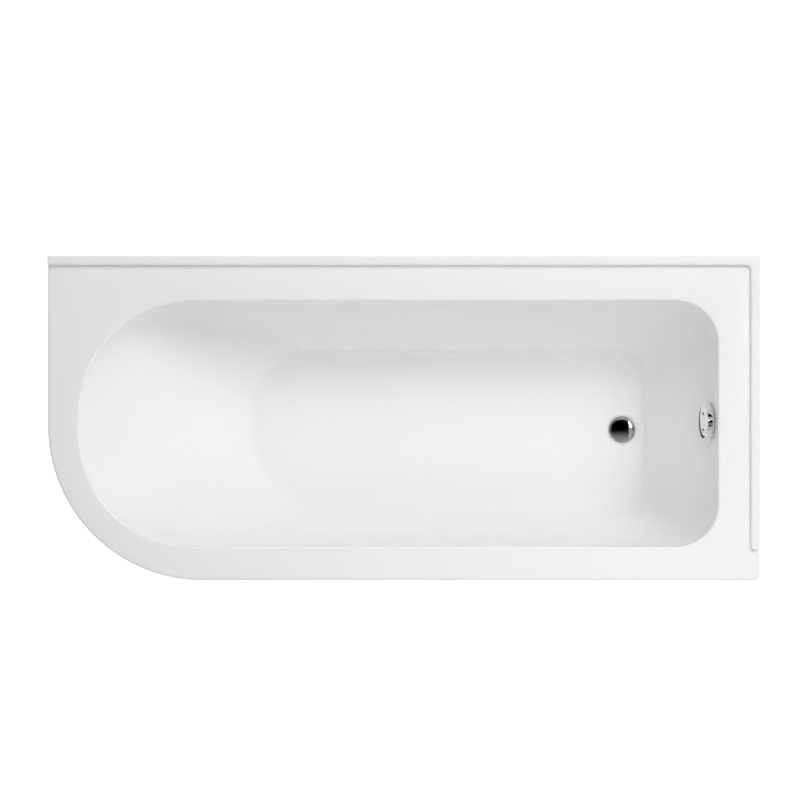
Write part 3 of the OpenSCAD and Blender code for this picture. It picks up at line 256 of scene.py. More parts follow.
overhead = rises(up, 0.90, 0.93)
on_knob = rises(to_right, 0.08, 0.12) * falls(to_right, 0.46, 0.50)
outside_front_block = 1.0 - on_knob * rises(to_back, -0.50, -0.47) * falls(to_back, 0.07, 0.12)
outside_back_block = 1.0 - on_knob * rises(to_back, 0.49, 0.54)
sky_parts = {
    "belt": 0.40 * rises(up, 0.10, 0.40) * falls(up, 0.88, 0.93) * outside_front_block * outside_back_block,
    "horizon": 0.92 * falls(up, 0.04, 0.30),
    "front": 0.24 * overhead * falls(to_back, -0.24, -0.02),
    "back": 0.60 * overhead * rises(to_back, 0.185, 0.20),
    "strip": 0.32 * overhead * rises(to_right, 0.255, 0.262) * falls(to_right, 0.322, 0.33),
}
glow = sky.add("ShaderNodeBackground", Color=(1.0, 1.0, 1.0, 1.0), Strength=sum(sky_parts.values()))
sky.add("ShaderNodeOutputWorld", Surface=glow.outputs["Background"])
print("sky:", list(sky_parts))

# %% [markdown]
# ## The studio floor
# The bath stands on a wide floor that runs out of the picture on every side. It belongs to the
# studio and not to the bath.

# %% Studio floor
floor_half = 40.0
floor_corners = [(x * floor_half, y * floor_half, 0) for x, y in ((-1, -1), (1, -1), (1, 1), (-1, 1))]
floor_mesh = bpy.data.meshes.new("studio_floor")
floor_mesh.from_pydata(floor_corners, [], [(0, 1, 2, 3)])
studio_floor = bpy.data.objects.new("studio_floor", floor_mesh)
bpy.context.scene.collection.objects.link(studio_floor)

# %% [markdown]
# ## Wiring a material
# All the materials below have the same backbone: one Principled shader, and texture nodes that
# read Object coordinates, so that a pattern stays fixed on its piece. The helpers add a noise, a
# pair of tones, a range of numbers or a bump.

# %% Helpers for materials
class Finish(Wiring):
    """A material with one Principled shader."""

    def __init__(self, name):
        self.material = bpy.data.materials.new(name)
        self.material.use_nodes = True
        super().__init__(self.material.node_tree)
        self.tree.nodes.clear()
        self.shader = self.add("ShaderNodeBsdfPrincipled")
        self.add("ShaderNodeOutputMaterial", Surface=self.shader.outputs["BSDF"])
        self.place = self.add("ShaderNodeTexCoord").outputs["Object"]

    def set(self, **inputs):
        for name, value in inputs.items():
            self.feed(self.shader.inputs[name.replace("_", " ")], value)
        return self

    def stretched(self, scale, turn=(0, 0, 0)):
        """Object coordinates, scaled and turned, for grain that runs one way."""
        return self.add("ShaderNodeMapping", Vector=self.place, Scale=scale, Rotation=turn).outputs["Vector"]

    def noise(self, scale, detail=3.0, roughness=0.5, at=None):
        return self.add("ShaderNodeTexNoise", Vector=at or self.place, Scale=scale, Detail=detail,
                        Roughness=roughness).outputs["Fac"]

    def between(self, fac, low, high):
        """Two tones mixed by a texture."""
        ramp = self.add("ShaderNodeValToRGB", Fac=fac)
        for end, tone in zip(ramp.color_ramp.elements, (low, high)):
            end.color = (*tone, 1)
        return ramp.outputs["Color"]

    def ranged(self, fac, low, high, from_low=0.0, from_high=1.0):
        """A texture brought to a range of numbers."""
        return self.add("ShaderNodeMapRange", Value=fac, From_Min=from_low, From_Max=from_high, To_Min=low,
                        To_Max=high).outputs["Result"]

    def bump(self, height, depth_mm, strength=1.0, over=None):
        """A texture felt as relief, if wanted over another relief."""
        return self.add("ShaderNodeBump", Height=height, Strength=strength, Distance=depth_mm * mm,
                        Normal=over).outputs["Normal"]


# %% [markdown]
# ## Acrylic
# The basin is a sheet of cast acrylic, pulled down hot over a mould. It is white all the way
# through, very glossy, and slightly uneven where the sheet cooled: a broad ripple that only
# shows in the reflections, and a fine orange peel.

# %% Glossy white acrylic
def acrylic(name, tone, gloss):
    made = Finish(name)
    white = made.between(made.noise(3.0, 2.0), [c * 0.985 for c in tone], tone)
    ripple = made.bump(made.noise(14.0, 1.0), 0.10, 0.35)
    peel = made.bump(made.noise(420.0, 2.0), 0.02, 0.25, over=ripple)
    made.set(Base_Color=white, Roughness=made.ranged(made.noise(40.0), gloss, gloss + 0.05), Normal=peel, IOR=1.49,
             Specular_IOR_Level=0.3, Coat_Weight=0.15, Coat_Roughness=0.05)
    return made.material


# %% [markdown]
# ## Chrome, zinc and rubber
# The plug, its flange and the overflow are chromed brass: nearly a mirror, with faint wiping
# marks. The hidden steel is zinc plated: greyer, with small crystals that catch the light each
# in its own way. Rubber and moulded plastic are matt, with a fine grain.

# %% Metal and rubber
def polished_chrome():
    made = Finish("polished_chrome")
    wiped = made.noise(60.0, 4.0, at=made.stretched((1.0, 3.0, 1.0)))
    made.set(Base_Color=(0.97, 0.97, 0.975, 1), Metallic=1.0,
             Roughness=made.ranged(wiped, 0.03, 0.09, 0.3, 0.8),
             Normal=made.bump(made.noise(25.0, 1.0), 0.02, 0.2))
    return made.material


def zinc_plate():
    made = Finish("zinc_plate")
    crystal = made.add("ShaderNodeTexVoronoi", Vector=made.place, Scale=140.0)
    tone = made.between(crystal.outputs["Color"], (0.52, 0.54, 0.57), (0.74, 0.76, 0.78))
    made.set(Base_Color=tone, Metallic=1.0,
             Roughness=made.ranged(crystal.outputs["Distance"], 0.28, 0.48),
             Normal=made.bump(made.noise(300.0), 0.05, 0.4))
    return made.material


def black_rubber():
    made = Finish("black_rubber")
    tone = made.between(made.noise(90.0), (0.020, 0.020, 0.021), (0.045, 0.045, 0.047))
    made.set(Base_Color=tone, Roughness=made.ranged(made.noise(200.0), 0.65, 0.85),
             Normal=made.bump(made.noise(900.0, 2.0), 0.06, 0.5))
    return made.material


def moulded_plastic(name, tone):
    made = Finish(name)
    shade = made.between(made.noise(30.0), [c * 0.95 for c in tone], tone)
    made.set(Base_Color=shade, Roughness=made.ranged(made.noise(120.0), 0.32, 0.46),
             Normal=made.bump(made.noise(700.0, 2.0), 0.03, 0.4))
    return made.material


# %% [markdown]
# ## Glass fibre
# Under the acrylic a gun sprays polyester resin with chopped glass: a greenish cream skin with
# strands lying in every direction. Modelled strands would be thousands of pieces that nobody sees
# one by one, so three noises, each squeezed along its own direction, stand for them.

# %% Sprayed glass fibre
def sprayed_glass():
    made = Finish("sprayed_glass")
    strands = 0.0
    for turn in (0.3, 1.4, 2.5):
        lying = made.noise(18.0, 5.0, 0.7, at=made.stretched((9.0, 1.0, 4.0), (turn, turn * 0.7, turn)))
        strands = made.math("MAXIMUM", strands, lying)
    tone = made.between(made.ranged(strands, 0.0, 1.0, 0.5, 0.8), (0.52, 0.53, 0.40), (0.80, 0.80, 0.70))
    lumps = made.bump(made.noise(22.0, 3.0), 1.2, 0.8)
    made.set(Base_Color=tone, Roughness=made.ranged(made.noise(60.0), 0.25, 0.55),
             Normal=made.bump(strands, 0.5, 0.9, over=lumps))
    return made.material


# %% [markdown]
# ## Chipboard and timber
# The board under the floor is chipboard, whose flakes are cells of slightly different browns, and
# the battens are planed softwood, whose grain follows their length. A picture of wood would need
# to be fitted to each board, while a pattern of nodes runs through every length without a seam.

# %% Chipboard and softwood
def chipboard():
    made = Finish("chipboard")
    flake = made.add("ShaderNodeTexVoronoi", Vector=made.stretched((1.0, 1.6, 3.0), (0, 0, 0.4)), Scale=170.0)
    tone = made.between(flake.outputs["Color"], (0.36, 0.25, 0.14), (0.66, 0.50, 0.32))
    made.set(Base_Color=tone, Roughness=0.8,
             Normal=made.bump(flake.outputs["Distance"], 0.25, 0.6))
    return made.material


def softwood(name, grain_scale):
    made = Finish(name)
    grain = made.noise(9.0, 6.0, 0.6, at=made.stretched(grain_scale))
    rings = made.add("ShaderNodeTexWave", Vector=made.stretched(grain_scale), Scale=3.0, Distortion=6.0,
                     Detail=3.0)
    tone = made.between(made.number(grain) * rings.outputs["Fac"], (0.50, 0.34, 0.19), (0.74, 0.56, 0.36))
    made.set(Base_Color=tone, Roughness=made.ranged(grain, 0.55, 0.75),
             Normal=made.bump(grain, 0.2, 0.6))
    return made.material


# %% [markdown]
# ## One finish for each material slot
# Each slot of the CAD model gets one finish, and the battens that lie across the bath get the same
# wood with its grain turned. The studio floor is painted white. In the photograph the ground is
# pure white, so the paint glows towards the camera, and only faintly towards the bath, whose sides
# would otherwise be too bright.

# %% Finishes by slot, and the paint of the floor
finish = {
    "acrylic": acrylic("white_acrylic", (0.98, 0.98, 0.98), 0.22),
    "panel": acrylic("white_panel", (0.93, 0.93, 0.93), 0.22),
    "glassfibre": sprayed_glass(),
    "board": chipboard(),
    "timber": softwood("softwood_along_x", (0.5, 7.0, 7.0)),
    "timber_y": softwood("softwood_along_y", (7.0, 0.5, 7.0)),
    "zinc_steel": zinc_plate(),
    "chrome": polished_chrome(),
    "rubber": black_rubber(),
    "white_plastic": moulded_plastic("white_plastic", (0.74, 0.74, 0.72)),
    "grey_plastic": moulded_plastic("grey_plastic", (0.24, 0.25, 0.27)),
}
floor_finish = Finish("studio_paint")
painted = floor_finish.between(floor_finish.noise(1.5), (0.88, 0.88, 0.88), (0.92, 0.92, 0.92))
seen_directly = floor_finish.add("ShaderNodeLightPath").outputs["Is Camera Ray"]
floor_finish.set(Base_Color=painted, Roughness=0.9, Emission_Color=(1, 1, 1, 1),
                 Emission_Strength=floor_finish.ranged(seen_directly, 0.06, 0.66))
floor_mesh.materials.append(floor_finish.material)
print("finishes:", len(finish))

# %% [markdown]
# ## From rings to a mesh
# Most pieces of a bath are lofts: closed rings of points, joined one to the next. `skin` joins
# them and `lathe` turns a profile into rings. Both run the rings so that faces point outwards:
# the direction round a ring, crossed with the direction to the next ring, points out of the
# solid.

# %% Helpers for meshes
same_spot = 0.002 * mm


@contextmanager
def worked_on(mesh):
    """Opens a mesh for operations on its points and faces, and writes it back at the end."""
    work = bmesh.new()
    work.from_mesh(mesh)
    yield work
    work.to_mesh(mesh)
    work.free()


def smoothed(mesh, sharp_above=35):
    mesh.polygons.foreach_set("use_smooth", [True] * len(mesh.polygons))
    mesh.set_sharp_from_angle(angle=math.radians(sharp_above))
    return mesh


def new_piece(name, mesh):
    piece = bpy.data.objects.new(name, mesh)
    bpy.context.scene.collection.objects.link(piece)
    return piece


def skin(name, rings, tube=False, caps=False, sharp_above=35):
    """A mesh through rings of points in millimetres. A tube returns to its first ring."""
    rings = np.asarray(rings, float)
    rows, points = rings.shape[:2]
    faces = []
    for i in range(rows if tube else rows - 1):
        low, high = i * points, ((i + 1) % rows) * points
        faces += [(low + j, low + (j + 1) % points, high + (j + 1) % points, high + j) for j in range(points)]
    if caps:
        faces.append(tuple(range(points - 1, -1, -1)))
        faces.append(tuple(range((rows - 1) * points, rows * points)))
    mesh = bpy.data.meshes.new(name)
    mesh.from_pydata([tuple(p) for p in rings.reshape(-1, 3) * mm], [], faces)
    with worked_on(mesh) as work:
        bmesh.ops.remove_doubles(work, verts=work.verts, dist=same_spot)
    return new_piece(name, smoothed(mesh, sharp_above))


def lathe(name, profile, segments=96, sharp_above=35):
    """A closed profile of (radius, height) in millimetres, anticlockwise, turned about local Z."""
    turn = np.linspace(0, 2 * math.pi, segments, endpoint=False)
    rings = [[(r * math.cos(a), r * math.sin(a), z) for a in turn] for r, z in profile]
    return skin(name, rings, tube=True, sharp_above=sharp_above)


def cylinder(name, radius, low, high, segments):
    return lathe(name, [(0, low), (radius, low), (radius, high), (0, high)], segments)


# %% [markdown]
# A turned piece with sharp corners catches no light along them. `rounded` bends each corner of the
# half section before it is turned. A Bevel modifier on the finished piece would do it too, but
# this way costs fewer faces and never trips over a curved side.

# %% Rounded half sections
def rounded(profile, radius, steps=4):
    """The same closed profile with every corner off the axis rounded, as far as its sides allow."""
    made = []
    corners = [np.array(corner, float) for corner in profile]
    for before, here, after in zip(corners[-1:] + corners[:-1], corners, corners[1:] + corners[:1]):
        side_before, side_after = np.linalg.norm(before - here), np.linalg.norm(after - here)
        reach = min(radius, 0.45 * side_before, 0.45 * side_after)
        if here[0] < 0.01 or reach < 0.02:
            made.append(tuple(here))
            continue
        start, end = here + (before - here) / side_before * reach, here + (after - here) / side_after * reach
        for t in np.arange(steps + 1) / steps:
            made.append(tuple((1 - t) ** 2 * start + 2 * t * (1 - t) * here + t * t * end))
    return made


# %% [markdown]
# A piece is moved by moving the points of its mesh, so that its object stays at the origin and the
# patterns of its material lie where they belong. `dress` then gives it its material, its body and
# the CAD node that it stands for.

# %% Placing and dressing a piece
def placed(piece, matrix):
    """Moves a piece by moving its mesh, so that the object stays at the origin."""
    piece.data.transform(matrix)
    return piece


def moved(x, y, z):
    """A move by so many millimetres."""
    return Matrix.Translation(Vector((x, y, z)) * mm)


def turned(degrees, axis="Z"):
    return Matrix.Rotation(math.radians(degrees), 4, axis)


def evaluated(piece):
    """The piece with its modifiers turned into plain mesh."""
    bpy.context.view_layer.update()
    seen = piece.evaluated_get(bpy.context.evaluated_depsgraph_get())
    mesh = bpy.data.meshes.new_from_object(seen)
    piece.modifiers.clear()
    piece.data = mesh
    return piece


def dress(piece, *nodes, material=None, body=None, slot=None):
    """Gives a piece its finish and its body, and hides the CAD nodes that it stands for."""
    slot = slot or slot_of[nodes[0]]
    piece.data.materials.clear()
    piece.data.materials.append(material or finish[slot])
    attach(piece, body or frame["nodes"][nodes[0]]["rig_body"])
    if nodes:
        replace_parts(piece, *nodes)
    return piece


# %% [markdown]
# ## The basin
# The basin is one loft between outlines. From the outside in, they are: the foot of the rim, the
# rim, the edge of the opening, the walls, the flat floor and the round recess of the waste. Every
# outline is made of the same four corners joined by straight sides, so that point 57 of one ring
# lies under point 57 of the next. The sizes are those of the part's source, in millimetres.
#
# What makes it a bath and not a box are two curves. Going down, an upright wall starts steep and
# leans in more and more, while the backrest is almost straight. At its foot the wall ends in a
# faint crease, and a hollow takes the rest of the way: steeply at first, then round into the
# floor. At the backrest there is no crease, only a short round.

# %% Sizes of the basin
def box_mm(node):
    """Lowest and highest corner of a CAD node, in millimetres."""
    return [np.array(corner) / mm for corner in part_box(node)]


def centre_mm(node):
    return sum(box_mm(node)) / 2


half_l, half_w, deck_z = box_mm("bath_shell")[1]
basin_depth = 395
floor_z = deck_z - basin_depth
shell_t, rim_drop, rim_edge_r, lip_r = 5, 40, 6, 5.5
corner_r, small_corner_r, wall_corner_r = 370, 12, 8
upstand_inset, upstand_w = 1.5, 22
deck_head, deck_tap, deck_front, deck_back = 74.5, 76, 80, 83.5
open_x0, open_x1 = deck_head - half_l, half_l - upstand_inset - upstand_w - deck_tap
open_y0, open_y1 = deck_front - half_w, half_w - upstand_inset - upstand_w - deck_back
head_r, tap_r, head_fullness = 290, 102, 2.15
crease_x0, crease_x1, crease_y0, crease_y1 = open_x0 + 373, open_x1 - 121, open_y0 + 58, open_y1 - 108
crease_back_head_r, crease_front_head_r, crease_tap_r = 130, 200, 74
wall_curve, backrest_curve = 2.35, 1.15
side_reach, tap_reach, backrest_reach = 46, 16, 20
floor_x0, floor_x1, floor_y0, floor_y1 = (crease_x0 + backrest_reach, crease_x1 - tap_reach,
                                          crease_y0 + side_reach, crease_y1 - side_reach)
floor_fall, waste_recess = 6, 3
waste_xy = centre_mm("waste_plug")[:2]
waste_hole_r, waste_step_r = 26, 41
waste_rim_r = waste_step_r + 2.5
fall_x = waste_xy[0] - waste_rim_r
corner_c = np.array([corner_r - half_l, corner_r - half_w])
lip_z = deck_z - lip_r
print("opening", open_x1 - open_x0, "x", open_y1 - open_y0, "mm, waste at", waste_xy)

# %% [markdown]
# An outline could be a curve, but then each ring would choose its own points. Here `arc` gives the
# points of one corner and `outline` joins four corners by straight sides, always with the same
# number of points. The head end is a little fuller than a circle, and `fullness` stands for that.

# %% Corners and sides
tap_corner_steps, head_steps, tap_steps, long_steps = 28, 56, 24, 44
tap_view = math.radians(70)


def arc(cx, cy, radius, start, end, steps, fullness=2.0):
    angle = np.radians(np.linspace(start, end, steps + 1))
    cos, sin = np.cos(angle), np.sin(angle)
    full = 2 / fullness
    return np.c_[cx + radius * np.sign(cos) * abs(cos) ** full, cy + radius * np.sign(sin) * abs(sin) ** full]


def straight(p, q, shares):
    return [p + (q - p) * t for t in shares]


# The waste sees the points of the tap end about equally spaced, and the long sides crowd towards
# it.
tap_shares = 0.5 + np.tan(np.linspace(-tap_view, tap_view, tap_steps + 1)[1:-1]) / (2 * math.tan(tap_view))
back_shares = (np.arange(1, long_steps) / long_steps) ** 1.25
front_shares = 1 - back_shares[::-1]


def outline(front_tap, back_tap, back_head, front_head):
    return np.concatenate([
        front_tap, straight(front_tap[-1], back_tap[0], tap_shares),
        back_tap, straight(back_tap[-1], back_head[0], back_shares),
        back_head, front_head, straight(front_head[-1], front_tap[0], front_shares)])


# %% [markdown]
# The rim has one large round corner, at the front of the head end, and three that are nearly
# square. The one beside the round end of the opening gets as many points as that end has, so that
# the two can be joined point by point.

# %% Rim and opening
def square_corner(inset):
    """The corner of the rim at the wall, with as many points as the round one inside it."""
    radius = wall_corner_r - inset
    side = np.array([wall_corner_r - half_l, half_w - wall_corner_r])
    turn = arc(*side, radius, 90, 180, 8)
    count = (head_steps + 1 - len(turn)) // 2
    back = [(x, half_w - inset) for x in np.linspace(corner_c[0], side[0], count + 1)[:-1]]
    left = head_steps + 2 - len(turn) - count
    down = [(inset - half_l, y) for y in np.linspace(side[1], corner_c[1], left)[1:]]
    return np.array(back + [tuple(p) for p in turn] + down)


def edge_outline(inset):
    return outline(
        arc(half_l - small_corner_r, small_corner_r - half_w, small_corner_r - inset, -90, 0, tap_corner_steps),
        arc(half_l - wall_corner_r, half_w - wall_corner_r, wall_corner_r - inset, 0, 90, tap_corner_steps),
        square_corner(inset),
        arc(*corner_c, corner_r - inset, 180, 270, head_steps))


def open_outline(outset):
    return outline(
        arc(open_x1 - tap_r, open_y0 + tap_r, tap_r + outset, -90, 0, tap_corner_steps),
        arc(open_x1 - tap_r, open_y1 - tap_r, tap_r + outset, 0, 90, tap_corner_steps),
        arc(open_x0 + head_r, open_y1 - head_r, head_r + outset, 90, 180, head_steps, head_fullness),
        arc(open_x0 + head_r, open_y0 + head_r, head_r + outset, 180, 270, head_steps, head_fullness))


open_ring = open_outline(0)

# %% [markdown]
# At the foot of the walls run two more outlines: the crease, and inside it the edge of the flat
# floor. Corners that move inwards get tighter, so those of the floor have the smaller radius.

# %% Crease and edge of the floor
def low_outline(x0, x1, y0, y1, shrink):
    """An outline at the foot of the walls, whose corners shrink as it moves inwards."""
    tap, back, front = (r - shrink for r in (crease_tap_r, crease_back_head_r, crease_front_head_r))
    return outline(
        arc(x1 - tap, y0 + tap, tap, -90, 0, tap_corner_steps),
        arc(x1 - tap, y1 - tap, tap, 0, 90, tap_corner_steps),
        arc(x0 + back, y1 - back, back, 90, 180, head_steps),
        arc(x0 + front, y0 + front, front, 180, 270, head_steps))


floor_corner_shrink = 30
crease_ring = low_outline(crease_x0, crease_x1, crease_y0, crease_y1, 0)
floor_ring = low_outline(floor_x0, floor_x1, floor_y0, floor_y1, floor_corner_shrink)
print("points round the bath:", len(open_ring), len(edge_outline(0)))

# %% [markdown]
# Each point round the bath knows how much it belongs to the backrest and how much to the front
# wall. These two shares, from 0 to 1, decide how curved the wall is there, how high its crease
# stands over the floor and how steeply the hollow starts. Towards the front both ease off, because
# in the photograph the crease fades away there.

# %% Shares round the bath
backrest_share = np.clip((open_x0 + head_r - open_ring[:, 0]) / head_r, 0, None) ** 2
wall_power = wall_curve + (backrest_curve - wall_curve) * backrest_share
hollow_reach = np.linalg.norm(floor_ring - crease_ring, axis=1)
front_share = np.clip((floor_y0 + floor_y1 - 2 * crease_ring[:, 1]) / (floor_y1 - floor_y0), 0, 1)
crease_rise = (5 + 0.5 * hollow_reach - 6 * backrest_share) * (1 - 0.55 * front_share)
steep_share = 0.07 + 0.43 * np.maximum(backrest_share, 0.75 * front_share)


# %% [markdown]
# One ring of the wall stands for one height, and says how far its points have moved from the
# opening towards the crease. Below the crease the rings run in to the edge of the floor, and from
# there they turn into circles round the waste. The floor falls towards the waste by 6 mm.

# %% Rings of walls, hollow and floor
def floor_level(xy):
    return floor_z + floor_fall * np.clip(fall_x - xy[:, 0], 0, None) / (fall_x - floor_x0)


def flat(ring, z):
    return np.c_[ring, np.full(len(ring), z)]


crease_z = floor_level(crease_ring) + crease_rise


def wall_ring(down):
    """The ring a share of the way down from the lip to the crease."""
    inward = (down ** wall_power)[:, None]
    return np.c_[open_ring + (crease_ring - open_ring) * inward, lip_z + (crease_z - lip_z) * down]


def hollow_ring(t):
    """From the crease, steeply at first, round into the flat floor."""
    inward = (2 * t * (1 - t) * steep_share + t * t)[:, None]
    return np.c_[crease_ring + (floor_ring - crease_ring) * inward,
                 floor_level(floor_ring) + (crease_z - floor_level(floor_ring)) * (1 - t) ** 2]


def waste_ring(radius, z):
    away = floor_ring - waste_xy
    return flat(waste_xy + radius * away / np.linalg.norm(away, axis=1)[:, None], z)


def floor_ring_at(t):
    """Rings of the flat floor, from its edge to the recess of the waste."""
    edge = np.c_[floor_ring, floor_level(floor_ring)]
    return edge + (waste_ring(waste_rim_r, floor_z) - edge) * t


# %% [markdown]
# All rings in order are the upper face of the acrylic, from the foot of the rim to the hole of the
# waste. Where the face bends most, at the lip and at the crease, the rings lie closest. Moving each
# point square to the face gives the underside. A Solidify modifier could do that too, but the
# backing has to start from the same rings, at its own distance.

# %% The upper face
edge_steps, wall_steps, hollow_steps, rim_chamfer, backing_start = 8, 26, 14, 0.8, 0.0095
quarter = [(math.cos(a), math.sin(a)) for a in np.linspace(0, math.pi / 2, edge_steps + 1)]
upper = [flat(edge_outline(0), deck_z - rim_drop + rim_chamfer)]
upper += [flat(edge_outline(rim_edge_r * (1 - cos)), deck_z - rim_edge_r * (1 - sin)) for cos, sin in quarter]
upper += [flat(open_outline(lip_r * (1 - sin)), deck_z - lip_r * (1 - cos)) for cos, sin in quarter]
wall_start = len(upper)
upper += [wall_ring(share) for share in [backing_start, *np.arange(1, wall_steps) / wall_steps, 0.99, 1.0]]
upper += [hollow_ring(t) for t in [0.02, *np.arange(1, hollow_steps + 1) / hollow_steps]]
upper += [floor_ring_at(t) for t in (0.06, 0.2, 0.45, 0.75, 0.93, 1.0)]
floor_end = len(upper)
step = [(waste_step_r + 1.0, 0.0), (waste_step_r, -0.25), (waste_step_r - waste_recess, 0.3 - waste_recess),
        (waste_step_r - waste_recess - 1.0, -waste_recess), (waste_hole_r, -waste_recess)]
upper += [waste_ring(radius, floor_z + z) for radius, z in step]
upper = np.array(upper)


def outward(rings):
    """Direction out of the upper face at each point, from its neighbours."""
    around = np.roll(rings, -1, axis=1) - np.roll(rings, 1, axis=1)
    advance = np.concatenate([rings[1:2] - rings[:1], rings[2:] - rings[:-2], rings[-1:] - rings[-2:-1]])
    normal = np.cross(around, advance)
    return normal / np.maximum(np.linalg.norm(normal, axis=2, keepdims=True), 1e-9)


def below(depth):
    """The upper face moved to its other side by a depth."""
    return upper - depth * outward(upper)


print("rings of the basin:", len(upper), "of them walls", wall_steps + hollow_steps)

# %% [markdown]
# The skin now closes on itself: up the outside of the rim, across the deck, down the basin to the
# hole of the waste, and back along the underside, 5 mm below. For the overflow, cylinders then cut
# a shallow flat seat in front, add a flat pad behind and drill a hole through both. The seat comes
# first: cut last, it would leave slits in the skin. Their axis is the knob's joint.

# %% Basin mesh
under = below(shell_t)[::-1]
foot = [flat(edge_outline(shell_t - rim_chamfer), deck_z - rim_drop),
        flat(edge_outline(rim_chamfer), deck_z - rim_drop)]
basin = skin("acrylic_basin", np.concatenate([upper, under, foot]), tube=True)

knob_at = Vector(joint_of["knob_turn"]["pos_m"])
into_basin = Vector(joint_of["knob_turn"]["axis"]).normalized()
across = Vector((0, 1, 0))
overflow_frame = Matrix((across.cross(into_basin), across, into_basin)).transposed().to_4x4()
overflow_frame.translation = knob_at


def drum(name, radius, low, high):
    """A plain cylinder on the overflow's axis, used for cutting and joining."""
    return placed(cylinder(name, radius, low, high, 128), overflow_frame)


def combined(piece, tool, operation):
    """One boolean step, after which the tool is thrown away."""
    modifier = piece.modifiers.new(operation, "BOOLEAN")
    modifier.operation, modifier.object, modifier.solver = operation, tool, "EXACT"
    evaluated(piece)
    bpy.data.objects.remove(tool)
    return piece


overflow_hole_r, overflow_pad_r, overflow_pad_t, seat_depth, clear = 26, 44, 8, 0.4, 20
combined(basin, drum("seat", overflow_pad_r + 1, -seat_depth, clear), "DIFFERENCE")
combined(basin, drum("pad", overflow_pad_r, -overflow_pad_t, -1.5), "UNION")
combined(basin, drum("hole", overflow_hole_r, -overflow_pad_t - 1, clear), "DIFFERENCE")
smoothed(basin.data, 30)
dress(basin, "bath_shell")
print("basin:", len(basin.data.polygons), "faces")

# %% [markdown]
# ## The glass-fibre backing
# The sprayed skin follows the underside of the acrylic, 3 mm thick, and its outer face is lumpy.
# The same rings are used once more, moved further out, and a smooth random field moves each point
# of the outer face by up to half a millimetre. Behind the overflow a wide hole keeps it clear of
# the fittings.

# %% Backing mesh
backing_gap, backing_t, lump, fittings_r, fittings_depth = 0.1, 3.0, 0.45, 49, 64
random = np.random.default_rng(4)


def lumpy(rings):
    """Slow waves of random direction added up: a bumpy skin without sudden steps."""
    waves, height = 14, np.zeros(rings.shape[:2])
    for _ in range(waves):
        way = random.normal(size=3)
        height += np.sin(rings @ (way / np.linalg.norm(way)) / random.uniform(6, 22) + random.uniform(0, 6.3))
    return height / waves


skin_rows = slice(wall_start, floor_end)
inner_face = below(shell_t + backing_gap)[skin_rows]
outer_face = below(shell_t + backing_gap + backing_t)[skin_rows]
outer_face -= (lump * (lumpy(outer_face) - 0.5))[..., None] * outward(upper)[skin_rows]
backing = skin("sprayed_backing", np.concatenate([inner_face, outer_face[::-1]]), tube=True, sharp_above=50)
combined(backing, drum("gap", fittings_r, -fittings_depth, 8), "DIFFERENCE")
smoothed(backing.data, 50)
dress(backing, "glassfibre_backing")
print("backing:", len(backing.data.polygons), "faces")

# %% [markdown]
# ## Rounded copies of the plain pieces
# Boards, battens, brackets, nuts and mouldings have the right shape in CAD, but a CAD edge is
# perfectly sharp, and nothing real is. Each gets a copy whose loose triangles are merged into
# whole faces, and a Bevel modifier rounds its edges by a fraction of a millimetre.

# %% Softened copies
flat_within, edge_from = math.radians(0.4), math.radians(35)


def softened(node, edge_mm, material=None):
    """A copy of a CAD node with its loose triangles merged into faces and its edges rounded."""
    work = bmesh.new()
    work.from_mesh(frame["nodes"][node].data)
    bmesh.ops.remove_doubles(work, verts=work.verts, dist=same_spot)
    bmesh.ops.dissolve_limit(work, angle_limit=flat_within, verts=work.verts, edges=work.edges)
    mesh = bpy.data.meshes.new(node + "_finished")
    work.to_mesh(mesh)
    work.free()
    piece = new_piece(mesh.name, mesh)
    bevel = piece.modifiers.new("edge", "BEVEL")
    bevel.width, bevel.segments, bevel.limit_method, bevel.angle_limit = edge_mm * mm, 2, "ANGLE", edge_from
    evaluated(piece)
    smoothed(piece.data, 40)
    return dress(piece, node, material=material)


edges = {
    "base_board": 0.8, "rim_batten_back": 1.0, "rim_batten_front": 1.0, "rim_batten_corner": 1.0,
    "rim_batten_head": 1.0, "rim_batten_tap": 1.0, "panel_foot_batten": 1.0, "panel_clips": 0.5,
    "panel_brackets": 0.4, "leg_channel_head": 0.5, "leg_channel_tap": 0.5, "wall_brackets": 0.4,
    "waste_top_seal": 0.2, "waste_bottom_seal": 0.4, "waste_body": 0.5, "lever_pin": 0.2,
    "overflow_gasket": 0.5, "overflow_body": 0.5, "overflow_bridge": 0.4, "hose_nut_top": 0.4,
    "hose_nut_bottom": 0.4, "cable_ferrule_top": 0.3, "cable_ferrule_bottom": 0.3, "plug_seal": 0.2,
    "plug_stem": 0.2, "lift_lever": 0.4, "overflow_spindle": 0.2,
}
along_y = {"rim_batten_head", "rim_batten_tap"}
for node, edge in edges.items():
    softened(node, edge, material=finish["timber_y"] if node in along_y else None)
print("softened copies:", len(edges))

# %% [markdown]
# ## Recipes
# What repeats or follows a path is grown by Geometry Nodes: screw threads, the ribs of the hose,
# the fasteners. A recipe is a tree with named inputs for its sizes. `grow` hands it a mesh and the
# sizes, lets it run once and keeps the result as plain mesh. Each tree ends in Realize Instances
# and Set Material, so that nothing in the result is a mere instance.

